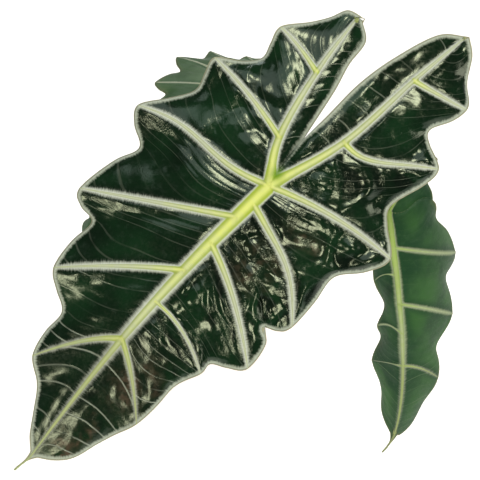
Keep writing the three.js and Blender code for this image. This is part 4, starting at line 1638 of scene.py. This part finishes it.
@dataclass
class Pot:
    """The clay pot, with a collar, a rolled lip and drain holes in its floor."""

    clay: Material
    foot_radius: float = 48.0
    rim_radius: float = 72.0
    collar: float = 33.0
    collar_step: float = 4.5
    lip: float = 3.2
    drain_count: int = 5
    drain_radius: float = 5.0
    drain_ring: float = 26.0
    drain_sides: int = 32
    sides: int = 160
    row_step: float = 4.0
    inset: float = 0.9985

    def profile(self) -> list[tuple[float, float]]:
        """Radius and height round the wall.

        Returns:
            Points from the floor's centre to its centre.
        """
        step_z, collar, foot = POT_HEIGHT - self.collar, self.rim_radius - 1.5, self.foot_radius
        centre_r, centre_z = self.rim_radius - self.lip, POT_HEIGHT - self.lip
        rolled = [(centre_r + self.lip * math.sin(a), centre_z + self.lip * math.cos(a))
                  for a in np.linspace(math.pi / 2, 0, 7)]
        return [
            (0, 0), (foot - 1.5, 0), (foot - 0.4, 0.5), (foot, 1.5), (collar - self.collar_step, step_z),
            (collar - 1.6, step_z + 0.2), (collar - 0.5, step_z + 0.9), (collar, step_z + 2), *rolled,
            (66, POT_HEIGHT - 0.4), (65, POT_HEIGHT - 0.9), (BORE_RIM, POT_HEIGHT - 2),
            (bore(POT_FLOOR + 4), POT_FLOOR + 4), (40, POT_FLOOR), (0, POT_FLOOR),
        ]

    def build(self) -> None:
        """Makes the pot and seats it."""
        rows, profile, hub = [], self.profile(), self.drain_ring - 12
        for low, high in zip(profile, profile[1:]):
            count = max(1, math.ceil(math.dist(low, high) / self.row_step))
            rows += np.linspace(low, high, count, endpoint=False).tolist()
        rows = np.array([row for row in [*rows, (hub, POT_FLOOR)] if row[0] > hub - 0.5])
        wobble = 1 + 0.0015 * np.sin(2 * np.linspace(0, 2 * math.pi, self.sides, endpoint=False) + 0.7)
        points = turned(*rows.T, self.sides)
        points[..., :2] *= wobble[:, None, None] * self.inset
        piece = new_piece("clay_pot", points.reshape(-1, 3), capped(self.sides, len(rows)), [self.clay])
        self.drill(piece)
        seat_piece(piece, "clay", "pot")

    def drill(self, piece: Piece) -> None:
        """Cuts the drain holes through the pot's floor.

        Args:
            piece: The pot.
        """
        plug = turned([self.drain_radius] * 2, (-4, POT_FLOOR + 4), self.drain_sides).reshape(-1, 3)
        points, faces = [], []
        for k in range(self.drain_count):
            turn = 2 * math.pi * k / self.drain_count
            points.append(plug + np.array([math.cos(turn), math.sin(turn), 0]) * self.drain_ring)
            faces += capped(self.drain_sides, 2, k * len(plug))
        cutter = new_piece("drain_cutter", np.concatenate(points), faces, [])
        cut = piece.modifiers.new("drains", "BOOLEAN")
        cut.operation, cut.solver, cut.object = "DIFFERENCE", "EXACT", cutter
        shaped = bpy.data.meshes.new_from_object(piece.evaluated_get(bpy.context.evaluated_depsgraph_get()))
        piece.modifiers.clear()
        piece.data = shaped
        bpy.data.objects.remove(cutter)


@dataclass(frozen=True)
class PaperFloor:
    """Matt white studio paper, lit from within a little so that it stays plain."""

    white: str = "#f4f4f2"
    roughness: float = 0.9
    glow: float = 0.85

    def make(self) -> Material:
        """Builds the material."""
        glow = {"Emission_Color": linear(self.white), "Emission_Strength": self.glow}
        return Mixture("studio_paper").shade(self.white, self.roughness, **glow)


@dataclass(frozen=True)
class Lamp:
    """One round soft light: its place and width in millimetres, its watts and its tint."""

    name: str
    place: tuple[float, float, float]
    size: float
    power: float
    tint: str


@dataclass
class Studio:
    """Floor, soft lights and the camera, which looks down at the foliage from 60 degrees."""

    aim: tuple[float, float, float] = (22.3, -160.4, 396.5)
    distance: float = 420.0
    elevation: float = 60.0
    frame_width: float = 240.0
    sensor: float = 36.0
    floor_size: float = 9000.0
    sky: float = 0.12
    sky_tint: str = "#f2f5f7"
    lamps: tuple[Lamp, ...] = (
        Lamp("key_lamp", (347, -225, 1658), 330, 5.4, "#fff3dc"),
        Lamp("left_lamp", (-672, -1106, 989), 330, 3.9, "#fff3dc"),
        Lamp("front_lamp", (337, -1043, 1297), 330, 4.2, "#fff3dc"),
        Lamp("overhead_softbox", (50, -98, 1646), 900, 3.0, "#eef6ff"),
        Lamp("right_softbox", (1200, -300, 900), 500, 3.0, "#fff6ea"),
        Lamp("rear_softbox", (-100, 1100, 1100), 600, 3.4, "#f4f7ff"),
    )

    def build(self) -> None:
        """Makes the floor, the sky, the lamps and the camera."""
        half = self.floor_size / 2
        corners = np.array([(-half, -half, 0), (half, -half, 0), (half, half, 0), (-half, half, 0)])
        floor = new_piece("studio_floor", corners, [[0, 1, 2, 3]], [PaperFloor().make()])
        for lamp in self.lamps:
            self.hang(lamp)
        world = bpy.data.worlds.new("studio_room")
        world.use_nodes = True
        back = world.node_tree.nodes["Background"]
        back.inputs[0].default_value = linear(self.sky_tint)
        back.inputs[1].default_value = self.sky
        bpy.context.scene.world = world
        self.camera()

    def hang(self, lamp: Lamp) -> None:
        """Hangs a lamp that shines at the foliage.

        Args:
            lamp: The lamp.
        """
        light = bpy.data.lights.new(lamp.name, "AREA")
        light.shape, light.size, light.energy = "DISK", lamp.size * MM, lamp.power
        light.color = linear(lamp.tint)[:3]
        holder = bpy.data.objects.new(lamp.name, light)
        holder.location = Vector(lamp.place) * MM
        toward = Vector(self.aim) * MM - holder.location
        holder.rotation_euler = toward.to_track_quat("-Z", "Y").to_euler()
        bpy.context.scene.collection.objects.link(holder)

    def camera(self) -> None:
        """Makes the camera and its framing."""
        lens = bpy.data.cameras.new("camera")
        lens.sensor_width = self.sensor
        lens.lens = self.sensor * self.distance / self.frame_width
        lens.clip_start, lens.clip_end = 0.01, 30
        eye = bpy.data.objects.new("camera", lens)
        tilt = math.radians(self.elevation)
        back = Vector((0, -math.cos(tilt), math.sin(tilt)))
        eye.location = (Vector(self.aim) + back * self.distance) * MM
        eye.rotation_euler = (math.pi / 2 - tilt, 0, 0)
        bpy.context.scene.collection.objects.link(eye)
        bpy.context.scene.camera = eye


def save_sizes() -> None:
    """Updates the view layer."""
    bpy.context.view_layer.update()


# The right and left leaves are younger: lighter green, satin, with slight ribs.
YOUNG_SKIN = LeafSkin(
    panel_deep="#21452b", panel_green="#3a6536", panel_blush="#3f6340", crest_near="#a9c56e",
    flank_near="#93b45a", crest_far="#c0cdaa", flank_far="#9db085", hair="#b0bf9c", thread="#4f6b47",
    edge="#7f8464", edge_line="#3f5034", edge_hair="#5d7350", rib_width=0.38, felt_width=0.85,
    felt_cover=0.85, edge_cover=0.5, roughness=0.46, level=0.1,
)
# The back leaf lies in shade: greyer and paler, with felt like the front leaf's.
SHADED_SKIN = LeafSkin(
    panel_deep="#486545", panel_green="#678260", panel_blush="#53664c", hair="#c3ccb6", thread="#71836a",
    edge="#7f8a66", edge_hair="#6b7b5e", crest_near="#c5d0a6", crest_far="#c9d1ba", flank_far="#b0bb9e",
    rib_width=0.9, felt_width=0.9, edge_cover=0.6, roughness=0.42, level=0.3,
)
# Skin, column step in millimetres and rows of each blade, the front one the finest.
BLADES = {
    "front": (LeafSkin(), 1.4, 62), "right": (YOUNG_SKIN, 1.5, 56),
    "left": (replace(YOUNG_SKIN, level=0.06), 1.9, 44), "back": (SHADED_SKIN, 1.9, 44),
}


def main() -> None:
    """Builds the plant, its pot and the studio."""
    logging.basicConfig(level=logging.INFO, format="%(message)s")
    bpy.context.scene.view_settings.view_transform = "Standard"
    stem = StalkSkin().make()
    for pose in LEAVES:
        skin, step, rows = BLADES[pose.name]
        Blade(pose, skin, LeafBack(), step, rows).build()
        Stalk(pose, stem).build()
    Rootstock(CrownBark().make()).build()
    Soil(PottingMix().make()).build()
    Pot(Terracotta().make()).build()
    Studio().build()
    save_sizes()


if __name__ == "__main__":
    main()
